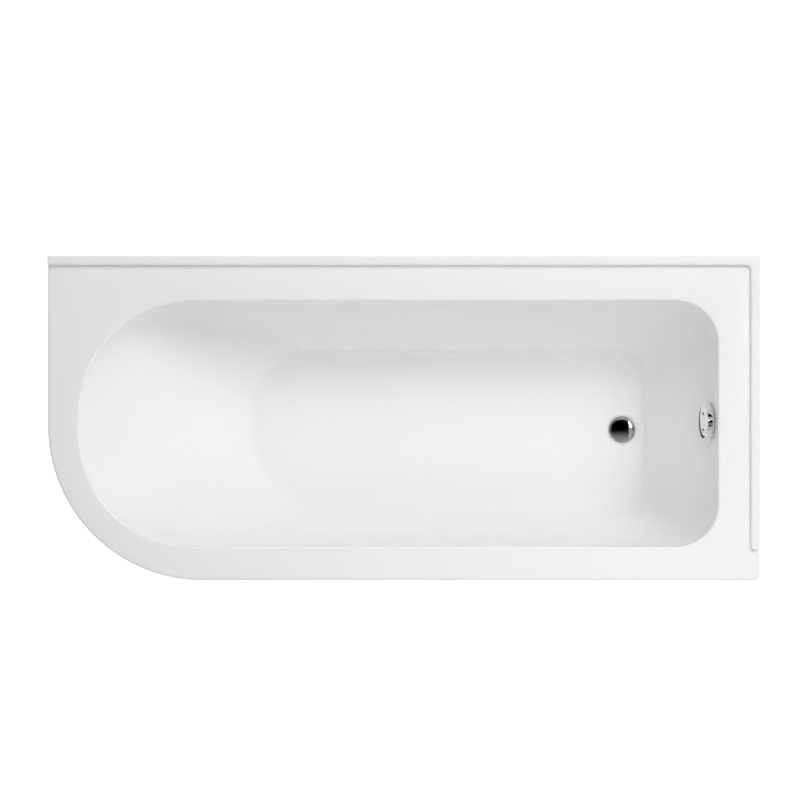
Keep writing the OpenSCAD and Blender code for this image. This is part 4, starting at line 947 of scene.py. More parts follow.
# %% Helpers for recipes
class Recipe(Wiring):
    """A Geometry Nodes tree with named inputs: a number gives a size, a socket type anything else."""

    def __init__(self, name, **inputs):
        super().__init__(bpy.data.node_groups.new(name, "GeometryNodeTree"))
        ports = self.tree.interface
        ports.new_socket("Geometry", in_out="OUTPUT", socket_type="NodeSocketGeometry")
        ports.new_socket("Geometry", in_out="INPUT", socket_type="NodeSocketGeometry")
        self.identifier = {}
        for label, value in {**inputs, "Material": "NodeSocketMaterial"}.items():
            kind = {float: "NodeSocketFloat", int: "NodeSocketInt"}.get(type(value), value)
            socket = ports.new_socket(label.replace("_", " "), in_out="INPUT", socket_type=kind)
            if kind != value:
                socket.default_value = value
            self.identifier[label] = socket.identifier
        self.given = self.add("NodeGroupInput").outputs

    def size(self, label):
        return self.number(self.given[label])

    def end(self, geometry):
        real = self.add("GeometryNodeRealizeInstances", Geometry=geometry).outputs["Geometry"]
        coated = self.add("GeometryNodeSetMaterial", Geometry=real, Material=self.given["Material"])
        self.add("NodeGroupOutput", Geometry=coated.outputs["Geometry"])


def grow(name, recipe, mesh, slot, **sizes):
    """Runs a recipe on a mesh and keeps what it makes."""
    piece = new_piece(name, mesh)
    modifier = piece.modifiers.new(recipe.tree.name, "NODES")
    modifier.node_group = recipe.tree
    for label, value in {**sizes, "Material": finish[slot]}.items():
        modifier[recipe.identifier[label]] = value
    return evaluated(piece)


def chain(points, ring=False):
    """Edges that join each point to the next, and in a ring the last one to the first."""
    return [(k, (k + 1) % len(points)) for k in range(len(points) if ring else len(points) - 1)]


def point_mesh(name, points, edges=()):
    """A mesh of mere points, in millimetres, or of points and edges."""
    mesh = bpy.data.meshes.new(name)
    mesh.from_pydata([tuple(p) for p in np.asarray(points, float) * mm], list(edges), [])
    return mesh


# %% [markdown]
# What a recipe rolls up or sweeps is open at its ends. `closed` fills them, and `joined` puts the
# solids of one fitting into one mesh, as a head and its shank.

# %% Closing and joining
def joined(name, pieces):
    """Several pieces in one mesh; the pieces themselves are thrown away."""
    work = bmesh.new()
    for piece in pieces:
        work.from_mesh(piece.data)
        bpy.data.objects.remove(piece)
    mesh = bpy.data.meshes.new(name)
    work.to_mesh(mesh)
    work.free()
    return new_piece(name, smoothed(mesh, 40))


def closed(piece):
    """Fills the open ends of a piece and makes all its faces point outwards."""
    with worked_on(piece.data) as work:
        bmesh.ops.holes_fill(work, edges=work.edges, sides=0)
        bmesh.ops.recalc_face_normals(work, faces=work.faces)
    smoothed(piece.data, 45)
    return piece

# %% [markdown]
# ## Threads
# A screw thread is a rule: the radius of the surface rises and falls as it winds up the rod. So
# the recipe starts from a flat grid, rolls it up into a tube, and pushes every point out by a
# zigzag of its height and its angle. Near both ends the ridge dies away, as a cut thread does.

# %% The thread recipe
thread = Recipe("screw_thread", Radius=0.006, Depth=0.0006, Pitch=0.00175, Length=0.1, Around=24, Rows=200)
sheet = thread.add("GeometryNodeMeshGrid", Size_X=1.0, Size_Y=1.0, Vertices_X=thread.given["Around"],
                   Vertices_Y=thread.given["Rows"])
spot = thread.add("ShaderNodeSeparateXYZ", Vector=thread.add("GeometryNodeInputPosition").outputs["Position"])
share_round = thread.number(spot.outputs["X"]) + 0.5
height = (thread.number(spot.outputs["Y"]) + 0.5) * thread.size("Length")
angle = share_round * (2 * math.pi)
ridge = thread.math("PINGPONG", height / thread.size("Pitch") - share_round, 0.5) * 2.0
to_end = thread.math("MINIMUM", height, thread.size("Length") - height)
fade = thread.math("MINIMUM", to_end / thread.size("Pitch"), 1.0)
reach = thread.size("Radius") - thread.size("Depth") * (1.0 - ridge * fade)
rolled = thread.add("ShaderNodeCombineXYZ", X=reach * thread.math("COSINE", angle),
                    Y=reach * thread.math("SINE", angle), Z=height)
tube = thread.add("GeometryNodeSetPosition", Geometry=sheet.outputs["Mesh"], Position=rolled.outputs["Vector"])
thread.end(thread.add("GeometryNodeMergeByDistance", Geometry=tube.outputs["Geometry"],
                      Distance=0.00001).outputs["Geometry"])


def threaded_rod(name, radius, depth, pitch, length, around=24, per_turn=6):
    """A rod in millimetres that stands on the origin, closed at both ends."""
    rows = int(length / pitch * per_turn)
    rod = grow(name, thread, point_mesh(name, [(0, 0, 0)]), "zinc_steel", Radius=radius * mm, Depth=depth * mm,
               Pitch=pitch * mm, Length=length * mm, Around=around + 1, Rows=rows)
    return closed(rod)


# %% [markdown]
# ## Feet
# Each foot is an M12 threaded stud that stands in a plastic pad. Turning the stud in its welded
# nut raises or lowers that corner of the bath, so the thread is worth having. The stud keeps the
# height and the radius of its CAD solid.

# %% Threaded studs and pads
stud_r, stud_ridge, stud_pitch = 5.98, 0.95, 1.75
for foot_name in ("head_back", "head_front", "tap_back", "tap_front"):
    stud_node = "foot_stud_" + foot_name
    stud_low, stud_high = box_mm(stud_node)
    stud = threaded_rod("stud_" + foot_name, stud_r, stud_ridge, stud_pitch, stud_high[2] - stud_low[2])
    placed(stud, moved(*centre_mm(stud_node)[:2], stud_low[2]))
    dress(stud, stud_node)
    softened("foot_pad_" + foot_name, 0.8)
print("stud:", len(stud.data.polygons), "faces")

# %% [markdown]
# ## Fasteners
# The same screw sits in many places. One template of each kind is turned on the lathe, with a
# cross recess cut into its head, and the recipe stands a copy of it on every point of a small
# mesh. Each point carries the direction that its screw drives in, and a fixed seed turns every
# screw a little differently, as a fitter would leave them.

# %% The fastener recipe
fasteners = Recipe("fasteners", Template="NodeSocketObject", Seed=3, Most_turn=6.28)
copied = fasteners.add("GeometryNodeObjectInfo", Object=fasteners.given["Template"]).outputs["Geometry"]
drives = fasteners.add("GeometryNodeInputNamedAttribute", {"data_type": "FLOAT_VECTOR"}, Name="drives_along")
aligned = fasteners.add("FunctionNodeAlignRotationToVector", {"axis": "Z"}, Vector=drives.outputs["Attribute"])
chance = fasteners.add("FunctionNodeRandomValue", {"data_type": "FLOAT"}, Min=0.0,
                       Max=fasteners.given["Most turn"], Seed=fasteners.given["Seed"])
about_z = fasteners.add("ShaderNodeCombineXYZ", Z=next(o for o in chance.outputs if o.enabled))
spin = fasteners.add("FunctionNodeEulerToRotation", Euler=about_z.outputs[0]).outputs[0]
spun = fasteners.add("FunctionNodeRotateRotation", {"rotation_space": "LOCAL"},
                     Rotation=aligned.outputs["Rotation"], Rotate_By=spin)
stood = fasteners.add("GeometryNodeInstanceOnPoints", Points=fasteners.given["Geometry"], Instance=copied,
                      Rotation=spun.outputs["Rotation"])
fasteners.end(stood.outputs["Instances"])


# %% [markdown]
# Where each screw stands isn't typed in again. A CAD node of screws holds one solid for each, and
# the box of a solid tells the place and the length. `islands` finds the solids by walking along the
# edges from point to point.

# %% Standing fasteners on their places
def fastened(node, template, places, most_turn=6.28):
    """Stands the template at each place, a pair of point and direction, and replaces the node."""
    mesh = point_mesh(node, [p for p, _ in places])
    along = mesh.attributes.new("drives_along", "FLOAT_VECTOR", "POINT")
    along.data.foreach_set("vector", [c for _, d in places for c in d])
    piece = grow(node + "_set", fasteners, mesh, slot_of[node], Template=template, Seed=len(node),
                 Most_turn=most_turn)
    bpy.data.objects.remove(template)
    smoothed(piece.data, 35)
    print(node, len(places), "fasteners,", len(piece.data.polygons), "faces")
    return dress(piece, node)


def islands(node):
    """Lowest and highest corner, in millimetres, of each separate solid of a CAD node."""
    work = bmesh.new()
    work.from_mesh(frame["nodes"][node].data)
    bmesh.ops.remove_doubles(work, verts=work.verts, dist=same_spot)
    seen, boxes = set(), []
    for first in work.verts:
        todo, found = [first], []
        while todo:
            vert = todo.pop()
            if vert not in seen:
                seen.add(vert)
                found.append(list(vert.co))
                todo += [edge.other_vert(vert) for edge in vert.link_edges]
        if found:
            points = np.array(found) / mm
            boxes.append((points.min(axis=0), points.max(axis=0)))
    work.free()
    return boxes


def places_along(node, axis, set_back):
    """For each solid of a node where its head ends and which way it drives, and how long they are."""
    boxes, places = islands(node), []
    for low, high in boxes:
        spot = (low + high) / 2
        spot[axis] = low[axis] + set_back
        places.append((spot, np.eye(3)[axis]))
    return places, (boxes[0][1] - boxes[0][0])[axis]


# %% [markdown]
# A pan-head screw has a low domed head, a cross recess that two crossed bars cut, and a threaded
# shank. Wood screws hold the clips, the legs and the wall brackets. Two machine screws hold the
# faceplate, square to the wall of the basin.

# %% Pan-head screws
def pan_screw(name, radius, length, head_r, head_h):
    """A screw that drives along +Z, with the underside of its head on the origin."""
    dome = [(0, 1.0), (0.45, 1.0), (0.8, 0.86), (0.96, 0.5), (1.0, 0.1)]
    head = lathe(name, [(head_r * r, -head_h * h) for r, h in dome] + [(head_r - 0.1, 0), (0, 0)], 24)
    arm = head_r * 0.6
    bar = [(-arm, -0.4), (arm, -0.4), (arm, 0.4), (-arm, 0.4)]
    for degrees in (0, 90):
        slot = skin("recess", [flat(bar, z) for z in (-head_h - 1, -head_h / 2)], caps=True)
        combined(head, placed(slot, turned(degrees)), "DIFFERENCE")
    shank = threaded_rod("shank", radius, radius * 0.28, radius * 0.75, length, 12, 4)
    return joined(name, [head, shank])


wood_screw_r, wood_head_r, wood_head_h = 2.2, 4.2, 2.4
for node in ("panel_clip_screws", "leg_screws", "wall_bracket_screws"):
    places, length = places_along(node, 2, wood_head_h)
    fastened(node, pan_screw(node + "_one", wood_screw_r, length - wood_head_h, wood_head_r, wood_head_h), places)

plate_screw_at, plate_screw_length, plate_screw_z = 17.5, 21.0, 2.4
plate_screws = [(overflow_frame @ (Vector((0, side * plate_screw_at, plate_screw_z)) * mm) / mm, -into_basin)
                for side in (-1, 1)]
fastened("faceplate_screws", pan_screw("plate_screw", 2.0, plate_screw_length, 3.6, 1.6), plate_screws)

# %% [markdown]
# A nut is a hexagon bar whose ends are turned down at the corners: the bar is intersected with a
# turned shape, and the bore is taken out of it. The welded nuts of the legs all sit the same way
# round, and the lock nuts sit as they were tightened. The screws through the foot of the panel
# wear round caps.

# %% Nuts, bolts and capped screws
def hex_block(name, radius, low, high, edge):
    """A hexagon bar whose two ends are turned down at the corners, as on every nut."""
    hexagon = [(radius * math.cos(a), radius * math.sin(a)) for a in np.arange(6) * math.pi / 3]
    bar = skin(name, [flat(hexagon, low), flat(hexagon, high)], caps=True)
    end_r, side_r, drop = radius * 0.9, radius + edge, edge * 1.6
    cone = lathe("turned", [(0, low - 1), (end_r, low - 1), (end_r + 0.01, low), (side_r, low + drop),
                            (side_r, high - drop), (end_r + 0.01, high), (end_r, high + 1), (0, high + 1)], 48)
    return combined(bar, cone, "INTERSECT")


def nut(name, radius, bore, height):
    block = hex_block(name, radius, 0, height, 1.2)
    chamfered = lathe("bore", [(0, -1), (bore + 1.6, -1), (bore, 0.6), (bore, height - 0.6),
                               (bore + 1.6, height + 1), (0, height + 1)], 36)
    return combined(block, chamfered, "DIFFERENCE")


nut_r, nut_bore_r = 11, 6.2
for node, most_turn in (("foot_nuts", 0.0), ("foot_lock_nuts", 1.04)):
    places, height = places_along(node, 2, 0)
    fastened(node, nut(node + "_one", nut_r, nut_bore_r, height), places, most_turn)

bolt_head_r, bolt_head_h, bolt_r = 5, 3, 2.5
places, length = places_along("bracket_bolts", 2, bolt_head_h)
bolt = joined("bolt", [hex_block("bolt_head", bolt_head_r, -bolt_head_h, 0, 0.6),
                       threaded_rod("bolt_shank", bolt_r, 0.4, 0.8, length - bolt_head_h, 16, 5)])
fastened("bracket_bolts", bolt, places)

cap_t, cap_r = 2.5, 7
places, length = places_along("panel_screws", 1, cap_t)
cap = lathe("screw_cap", rounded([(0, -cap_t), (cap_r - 1.5, -cap_t), (cap_r, 0), (0, 0)], 0.8), 48)
capped = joined("capped_screw", [cap, threaded_rod("cap_shank", 2.2, 0.6, 1.65, length - cap_t, 12, 4)])
fastened("panel_screws", capped, places)

# %% [markdown]
# ## Plug and waste
# The waste flange and the plug are turned brass under chrome, so their profiles are drawn as half
# sections, their corners are rounded and the lathe does the rest. Inside the flange four spokes
# carry the hub that guides the stem of the plug.

# %% Waste flange and its spokes
flange_foot_z, flange_top_z = (corner[2] for corner in box_mm("waste_flange"))
flange_r, sleeve_r, sleeve_bore_r, plug_r, hub_r, stem_r = 36, 23.9, 21, 29.5, 7, 4
flange_z = flange_top_z - 3
seat_z, hub_top_z, hub_low_z = flange_z + 1.4, flange_z - 16, flange_z - 26
waste_axis = moved(*waste_xy, 0)

lip = [(sleeve_bore_r, seat_z - 2.4), (sleeve_bore_r, flange_foot_z), (sleeve_r - 1, flange_foot_z),
       (sleeve_r - 1, flange_z), (flange_r, flange_z), (flange_r, flange_z + 1.6),
       (flange_r - 1.4, flange_top_z), (flange_r - 3.4, flange_top_z),
       (plug_r + 0.8, seat_z + 0.4), (sleeve_r + 0.5, seat_z - 0.6)]
sleeve = threaded_rod("sleeve_thread", sleeve_r, 1.0, 1.8, flange_z - flange_foot_z - 2, 96, 6)
placed(sleeve, moved(0, 0, flange_foot_z))
combined(sleeve, cylinder("bore", sleeve_r - 1.6, flange_foot_z - 1, flange_z + 1, 96), "DIFFERENCE")
hub = [(stem_r + 0.35, hub_low_z), (hub_r, hub_low_z), (hub_r, hub_top_z), (stem_r + 0.35, hub_top_z)]
section = [(-1.2, hub_low_z + 2), (1.2, hub_low_z + 2), (1.2, hub_top_z - 2), (0.6, hub_top_z - 1.6),
           (-0.6, hub_top_z - 1.6), (-1.2, hub_top_z - 2)]
parts = [lathe("lip", rounded(lip, 0.7), 160), sleeve, lathe("hub", rounded(hub, 0.5), 48)]
for degrees in (45, 135, 225, 315):
    along_spoke = (hub_r - 0.8, sleeve_bore_r + 0.6)
    spoke = skin("spoke", [[(x, y, z) for y, z in section] for x in along_spoke], caps=True)
    parts.append(placed(spoke, turned(degrees)))
flange = placed(joined("waste_flange_turned", parts), waste_axis)
dress(flange, "waste_flange")
print("waste flange:", len(flange.data.polygons), "faces")

# %% [markdown]
# The cap of the plug is very slightly domed. From above it mirrors nothing but the ceiling, and
# how high the dome rises decides how much of it: so the crown gets rings of its own, close
# together, or the reflections would show its facets.

# %% Plug
plug_foot_z, cap_top = (corner[2] for corner in box_mm("waste_plug"))
cap_z, cap_rise = cap_top - 2.5, 1.6
ring_z = cap_z - 1.4
body = [(0, plug_foot_z), (stem_r + 2, plug_foot_z), (stem_r + 2, ring_z), (sleeve_bore_r, ring_z),
        (sleeve_bore_r, cap_z), (plug_r - 0.3, cap_z), (plug_r, cap_z + 0.2), (plug_r, cap_top - cap_rise - 0.2)]
crown = [(r, cap_top - cap_rise * (r / plug_r) ** 2) for r in (plug_r - 0.3, *np.arange(27.0, -1.0, -3.0))]
plug = placed(lathe("plug_turned", rounded(body + crown, 0.6), 160, 30), waste_axis)
dress(plug, "waste_plug")
print("plug:", len(plug.data.polygons), "faces")

# %% [markdown]
# ## Overflow knob and faceplate
# The knob is a shallow chrome cup, 88 mm across, pressed from sheet. Two finger marks show how it
# is turned, and a crescent opening lies low in its face. A black carrier sits inside, and its bosses
# nearly fill the marks and the crescent, so they look dark: painted reflection, black put where the
# chrome face mirrors two dark spots and a dark crescent. Turning the knob a quarter round pulls the cable.
#
# A long flat face beside a tight round would be shaded as if it were round too. Rings of points
# close to the round, on the flat side, keep the mirror flat.

# %% Knob
knob_gap, knob_t, knob_r, knob_wall, spindle_r = 6.5, 13, 44, 2.4, 4
spindle_end = knob_t - 3.2
shoulder_r, dish, side_lean = 1.9, 0.25, 1.0
face_r = knob_r - side_lean - shoulder_r
cup = [(spindle_r + 0.1, 0.5), (spindle_r + 3.5, 0.5), (spindle_r + 3.5, knob_t - knob_wall),
       (knob_r - knob_wall, knob_t - knob_wall), (knob_r - knob_wall, 0), (knob_r, 0)]
side_of_cup = [(knob_r, 0.8), (knob_r - side_lean, knob_t - shoulder_r - 0.3)]
turned_edge = [(face_r + shoulder_r * math.cos(a), knob_t - shoulder_r * (1 - math.sin(a)))
               for a in np.linspace(0, math.pi / 2, 9)]
face = [(r, knob_t - dish * (1 - (r / face_r) ** 2))
        for r in (face_r - 0.3, 40.0, 36.0, 28.0, 20.0, 12.0, 5.0, 0.0)]
bore = [(0, spindle_end + 0.1), (spindle_r + 0.1, spindle_end + 0.1)]
knob = lathe("knob_pressed", rounded(cup, 0.5, 2) + side_of_cup + turned_edge + face + bore, 192, 32)
print("knob before its openings:", len(knob.data.polygons), "faces")

# %% [markdown]
# The marks and the crescent are needed twice: as openings through the chrome, and a little smaller
# as black bosses of the carrier, which paint them dark as a reflection. So each of them is a function with a
# margin.

# %% Openings of the knob
mark_at, mark_half_l, mark_half_w, mark_turn = 19.5, 4.5, 2.9, 8
crescent_turn, crescent_shift, crescent_edge = math.radians(208), 12.0, 0.8


def stadium(half_length, half_width, steps=12):
    """A slot with round ends, as a closed ring of points."""
    turn = np.linspace(0, math.pi, steps + 1)
    end = [(half_length + half_width * math.sin(a), -half_width * math.cos(a)) for a in turn]
    return end + [(-x, -y) for x, y in end]


def grip_marks(low, high, margin):
    """Two short slots for the fingers."""
    ring = stadium(mark_half_l - margin, mark_half_w - margin)
    for side in (-1, 1):
        mark = skin("grip", [flat(ring, z) for z in (low, high)], caps=True)
        yield placed(mark, moved(0, side * mark_at, 0) @ turned(mark_turn))


def dark_crescent(low, high, margin):
    """The crescent of painted dark reflection on the face: a disc less a disc of its size that is shifted."""
    radius = face_r - crescent_edge - margin
    shifted = placed(cylinder("inner", radius + 2 * margin, low - 3, high + 3, 128),
                     moved(-crescent_shift * math.cos(crescent_turn), -crescent_shift * math.sin(crescent_turn), 0))
    return combined(cylinder("crescent", radius, low, high, 128), shifted, "DIFFERENCE")


# The bosses of the carrier stop just under the face: their black is painted reflection in the openings.
cut_low, cut_high, dark_fill_low, dark_fill_margin = knob_t - knob_wall - 0.5, knob_t + 1, knob_t - 5, 0.1
for cutter in (*grip_marks(cut_low, cut_high, 0.0), dark_crescent(cut_low, cut_high, 0.0)):
    combined(knob, cutter, "DIFFERENCE")
placed(knob, overflow_frame @ moved(0, 0, knob_gap))
smoothed(knob.data, 32)
dress(knob, "overflow_knob")
print("knob:", len(knob.data.polygons), "faces")

# %% [markdown]
# The carrier is a black moulding that fills the back of the cup, and its bosses end just below the
# face, so that their black is painted reflection in the marks and the crescent. It stands for nothing in
# the CAD model, so it only gets the body of the knob, and turns with it.

# %% Carrier inside the knob
carrier_in_r, carrier_out_r = spindle_r + 3.7, knob_r - knob_wall - 0.3
carrier_low, carrier_top = 7.0, knob_t - knob_wall - 0.6
carrier_dark_fill = lathe("knob_carrier", rounded([(carrier_in_r, carrier_low), (carrier_out_r, carrier_low),
                                         (carrier_out_r, carrier_top), (carrier_in_r, carrier_top)], 0.5), 96)
# The carrier's black bosses fill the marks and the crescent: painted reflection.
for dark_fill in (*grip_marks(dark_fill_low, knob_t - 0.35, dark_fill_margin), dark_crescent(dark_fill_low, knob_t - 0.45, dark_fill_margin)):
    combined(carrier_dark_fill, dark_fill, "UNION")
placed(carrier_dark_fill, overflow_frame @ moved(0, 0, knob_gap))
dress(carrier_dark_fill, material=finish["rubber"], body=frame["nodes"]["overflow_knob"]["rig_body"], slot="grey_plastic")
print("carrier:", len(carrier_dark_fill.data.polygons), "faces")

# %% [markdown]
# The faceplate behind the knob has three slots for the water and a collar that closes the gap to
# the knob. Its cutters are turned a little against the facets of the plate, because a cutter that
# meets the edge of a facet exactly leaves a slit.

# %% Faceplate
plate_low, plate_t, plate_r, collar_z, collar_t = -0.3, 2.6, 40, 6.4, 1.6
plate_hole_r, slot_in, slot_out, slot_half_w, cut_from, cut_to = 2.1, 14, 24, 2.5, -1, 4
disc = rounded([(spindle_r + 0.3, 0), (plate_r, 0), (plate_r, collar_z), (plate_r - collar_t, collar_z),
                (plate_r - collar_t, plate_t), (spindle_r + 0.3, plate_t)], 0.6)
plate = lathe("faceplate_pressed", disc, 160, 32)
for side in (-1, 1):
    hole = cylinder("hole", plate_hole_r, cut_from, cut_to, 24)
    combined(plate, placed(hole, moved(0, side * plate_screw_at, 0) @ turned(5)), "DIFFERENCE")
opening = [(slot_in, -slot_half_w), (slot_out, -slot_half_w), (slot_out, slot_half_w), (slot_in, slot_half_w)]
for degrees in (150.7, 180.7, 210.7):
    slot = skin("slot", [flat(opening, z) for z in (cut_from, cut_to)], caps=True)
    combined(plate, placed(slot, turned(degrees)), "DIFFERENCE")
placed(plate, overflow_frame @ moved(0, 0, plate_low))
smoothed(plate.data, 32)
dress(plate, "overflow_faceplate")
print("faceplate:", len(plate.data.polygons), "faces")

# %% [markdown]
# ## Hose and cable
# The overflow hose is a thin tube with ribs, so that it bends without folding. Its recipe sweeps a
# circle along the path and makes the circle larger and smaller as a sine of the way along; both
# ends stay plain, where the nuts clamp. A Solidify modifier then gives the skin its wall, which
# follows the ribs as in a real hose. The cable is the same sweep without ribs.

# %% The ribbed tube recipe
ribbed = Recipe("ribbed_tube", Radius=0.0132, Rib_height=0.0008, Ribs=64.0, Plain_share=0.08, Steps=500, Around=40)
path = ribbed.add("GeometryNodeMeshToCurve", Mesh=ribbed.given["Geometry"]).outputs["Curve"]
even = ribbed.add("GeometryNodeResampleCurve", Curve=path, Count=ribbed.given["Steps"]).outputs["Curve"]
way = ribbed.number(ribbed.add("GeometryNodeSplineParameter").outputs["Factor"])
plain = ribbed.size("Plain share")
has_ribs = ribbed.math("GREATER_THAN", ribbed.math("MINIMUM", way, 1.0 - way), plain)
ribbed_way = (way - plain) / (1.0 - plain * 2.0)
wave = ribbed.math("COSINE", ribbed_way * (ribbed.size("Ribs") * (2 * math.pi)))
round_r = ribbed.size("Radius") + (1.0 - wave) * ribbed.size("Rib height") * has_ribs
hoop = ribbed.add("GeometryNodeCurvePrimitiveCircle", Resolution=ribbed.given["Around"], Radius=1.0)
swept = ribbed.add("GeometryNodeCurveToMesh", Curve=even, Profile_Curve=hoop.outputs["Curve"], Scale=round_r)
ribbed.end(swept.outputs["Mesh"])


def tube_along(name, points, slot, **sizes):
    return grow(name, ribbed, point_mesh(name, points, chain(points)), slot, **sizes)


# %% [markdown]
# The hose leaves the overflow downwards and enters the waste from the side. One bend between two
# pulled points gives its path, and a short straight end sits in each nut.

# %% Hose
hose_top, hose_end = centre_mm("hose_nut_top"), centre_mm("hose_nut_bottom")
hose_root_r, hose_crest_r, hose_wall, hose_plain, hose_pull = 12.4, 14, 1.7, 28, 130
a, b = hose_top - (0, 0, hose_plain), hose_end + (hose_plain, 0, 0)
pulled_a, pulled_b = a - (0, 0, hose_pull + 30), b + (hose_pull, 0, 0)
t = np.linspace(0, 1, 121)[:, None]
bend = (1 - t) ** 3 * a + 3 * t * (1 - t) ** 2 * pulled_a + 3 * t * t * (1 - t) * pulled_b + t ** 3 * b
hose_path = np.concatenate([[hose_top], bend, [hose_end]])
hose_length = np.linalg.norm(np.diff(hose_path, axis=0), axis=1).sum()
hose = tube_along("ribbed_hose", hose_path, slot_of["overflow_hose"], Radius=hose_root_r * mm,
                  Rib_height=(hose_crest_r - hose_root_r) / 2 * mm, Plain_share=hose_plain / hose_length,
                  Steps=560, Around=40)
wall = hose.modifiers.new("wall", "SOLIDIFY")
wall.thickness, wall.offset = hose_wall * mm, -1
evaluated(hose)
smoothed(hose.data, 50)
dress(hose, "overflow_hose")
print("hose:", round(hose_length), "mm long,", len(hose.data.polygons), "faces")

# %% [markdown]
# The cable hangs in a loose loop from the overflow to the lever in the waste. Its path goes
# smoothly through a few points, which are shares of the height between its two ends, so the loop
# keeps its shape if the bath is made deeper.

# %% Lift cable
cable_top, cable_end = centre_mm("cable_ferrule_top"), centre_mm("cable_ferrule_bottom")
fall = cable_top[2] - cable_end[2]
from_top = np.array([(0, 0, 0), (0, 0, -0.045), (0, 0.01, -0.185), (-0.012, 0.03, -0.37),
                     (-0.05, 0.06, -0.555), (-0.135, 0.09, -0.74)])
at_end = np.array([(0.4, 0.125, 0.07), (0.21, 0.15, 0.012), (0.08, 0.11, 0), (0.012, 0.05, 0), (0, 0.025, 0),
                   (0, 0, 0)])
knots = np.concatenate([cable_top + fall * from_top, cable_end + fall * at_end])
ends = np.concatenate([knots[:1], knots, knots[-1:]])
t = np.linspace(0, 1, 12, endpoint=False)[:, None]
cable_path = np.concatenate([
    0.5 * (2 * k1 + (k2 - k0) * t + (2 * k0 - 5 * k1 + 4 * k2 - k3) * t ** 2
           + (3 * k1 - k0 - 3 * k2 + k3) * t ** 3)
    for k0, k1, k2, k3 in zip(ends, ends[1:], ends[2:], ends[3:])] + [knots[-1:]])
cable = closed(tube_along("lift_cable_sheath", cable_path, slot_of["lift_cable"], Radius=2.5 * mm, Rib_height=0.0,
                          Steps=260, Around=20))
dress(cable, "lift_cable")
print("cable:", round(np.linalg.norm(np.diff(cable_path, axis=0), axis=1).sum()), "mm")

# %% [markdown]
# ## Upstand
# A moulded bead with a rounded top runs along the back and the tap end, where the bath meets the
# tiles. It is a loft along the two walls: one cross-section, closed at both ends, lower and rounder
# where it dies out on the tap end.

# %% Upstand bead
upstand_h, upstand_inner_r, upstand_stop = 14, 12, 72
bead_low = box_mm("wall_upstand")[0][2]
over = np.linspace(0, math.pi, 25)
round_top = 0.5 - 0.5 * np.sign(np.cos(over)) * abs(np.cos(over)) ** (2 / 2.6)
across_bead = np.concatenate([[0.0, 0.0], round_top, [1.0, 1.0]])
up_bead = np.concatenate([[0.0, 0.34], 0.68 + 0.32 * abs(np.sin(over)) ** (2 / 2.2), [0.34, 0.0]])
x1, y1 = half_l - upstand_inset, half_w - upstand_inset
outer_r = wall_corner_r - upstand_inset


def bead_edge(set_in, radius):
    return arc(x1 - set_in - radius, y1 - set_in - radius, radius, 90, 0, 18)


outer_edge, inner_edge = bead_edge(0, outer_r), bead_edge(upstand_w, upstand_inner_r)
head_x, tap_y = upstand_inset - half_l, upstand_stop - half_w
middle_x = (outer_edge[-1][0] + inner_edge[-1][0]) / 2
stations = [((head_x + 5 * t, outer_edge[0][1]), (head_x + 5 * t, inner_edge[0][1]), h)
            for t, h in ((0, 0.80), (0.15, 0.89), (0.4, 0.96), (0.7, 0.99), (1, 1))]
stations += [(o, i, 1) for o, i in zip(outer_edge, inner_edge)]
for a in np.radians(np.linspace(90, 12, 14)):
    reach, y = upstand_w / 2 * math.sin(a), tap_y + upstand_w / 2 * (1 - math.cos(a))
    stations.append(((middle_x + reach, y), (middle_x - reach, y), 0.6 + 0.4 * math.sin(a)))
rings = [[(*(np.array(o) + (np.array(i) - np.array(o)) * s), bead_low + upstand_h * v * h)
          for s, v in zip(across_bead, up_bead)] for o, i, h in stations]
upstand = skin("upstand_bead", rings, caps=True, sharp_above=60)
dress(upstand, "wall_upstand")
print("upstand:", len(upstand.data.polygons), "faces")

# %% [markdown]
# ## Front panel
# The panel is a bent sheet of the same white acrylic: straight along the front, a quarter circle
# round the corner, straight again to the wall, with a flange turned in along the floor. Its
# recipe follows that path on the floor and stands the cross-section on it. `rounded` leaves points
# on the axis of a lathe alone, so the section is rounded beside the axis and then moved back.

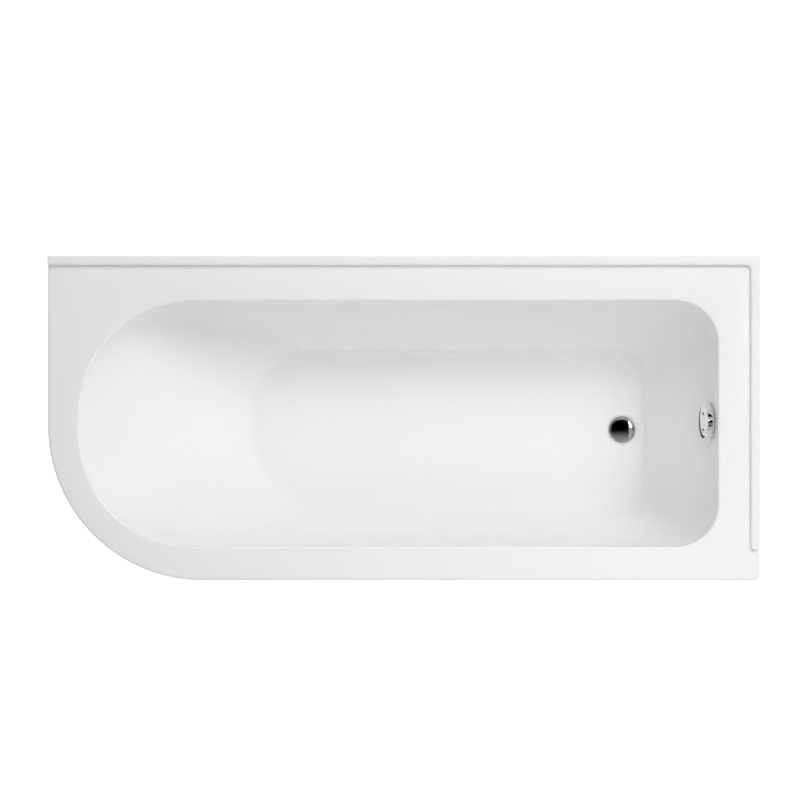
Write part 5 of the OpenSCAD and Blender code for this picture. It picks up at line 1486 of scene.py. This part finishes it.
# %% Panel recipe and panel
panel_inset, panel_t, panel_flange_w, panel_end_gap, beside_axis = 7, 4, 24, 3, 50
panel_low, panel_high = box_mm("front_panel")
swept_sheet = Recipe("bent_sheet", Section="NodeSocketObject")
path = swept_sheet.add("GeometryNodeMeshToCurve", Mesh=swept_sheet.given["Geometry"]).outputs["Curve"]
upright = swept_sheet.add("GeometryNodeSetCurveNormal", {"mode": "Z_UP"}, Curve=path).outputs["Curve"]
section = swept_sheet.add("GeometryNodeObjectInfo", Object=swept_sheet.given["Section"]).outputs["Geometry"]
section = swept_sheet.add("GeometryNodeMeshToCurve", Mesh=section).outputs["Curve"]
bent = swept_sheet.add("GeometryNodeCurveToMesh", Curve=upright, Profile_Curve=section, Fill_Caps=True)
swept_sheet.end(bent.outputs["Mesh"])

outer_r = corner_r - panel_inset
stop_x, stop_y = half_l - shell_t - panel_end_gap, half_w - shell_t - panel_end_gap
on_floor = np.concatenate([[(stop_x, panel_inset - half_w)], arc(*corner_c, outer_r, 270, 180, 96),
                           [(panel_inset - half_l, stop_y)]])
height = panel_high[2] - panel_low[2]
bend = rounded([(x + beside_axis, z) for x, z in
                [(0, 0), (panel_flange_w, 0), (panel_flange_w, panel_t), (panel_t, panel_t), (panel_t, height),
                 (0, height)]], 1.2)
loop = [(x - beside_axis, -z, 0) for x, z in bend]
section = new_piece("panel_section", point_mesh("panel_section", loop, chain(loop, ring=True)))
sweep = point_mesh("bent_panel", flat(on_floor, panel_low[2]), chain(on_floor))
panel = closed(grow("bent_panel", swept_sheet, sweep, "panel", Section=section))
bpy.data.objects.remove(section)
screw_hole_r = 2.3
for spot, _ in places_along("panel_screws", 1, 0)[0]:
    hole = cylinder("hole", screw_hole_r, -20, 20, 24)
    combined(panel, placed(hole, moved(spot[0], panel_low[1], spot[2]) @ turned(90, "X")), "DIFFERENCE")
smoothed(panel.data, 35)
dress(panel, "front_panel")
print("panel:", len(panel.data.polygons), "faces")

# %% [markdown]
# ## Is every piece where its solid is?
# Each dressed piece stands for one CAD node or for several, and has to fill the same box. This
# cell measures how far the two boxes are apart, and names the pieces where they differ visibly.

# %% How far each piece is from its CAD solid
visible_mm, off = 0.4, {}
for piece in [o for o in bpy.context.scene.objects if o.get("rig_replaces")]:
    corners = np.array([v.co for v in piece.data.vertices]) / mm
    boxes = np.array([box_mm(node) for node in piece["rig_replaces"]])
    gaps = corners.min(axis=0) - boxes[:, 0].min(axis=0), corners.max(axis=0) - boxes[:, 1].max(axis=0)
    off[piece.name] = round(abs(np.array(gaps)).max(), 2)
print("pieces whose box is visibly off:", {k: float(v) for k, v in off.items() if v > visible_mm})
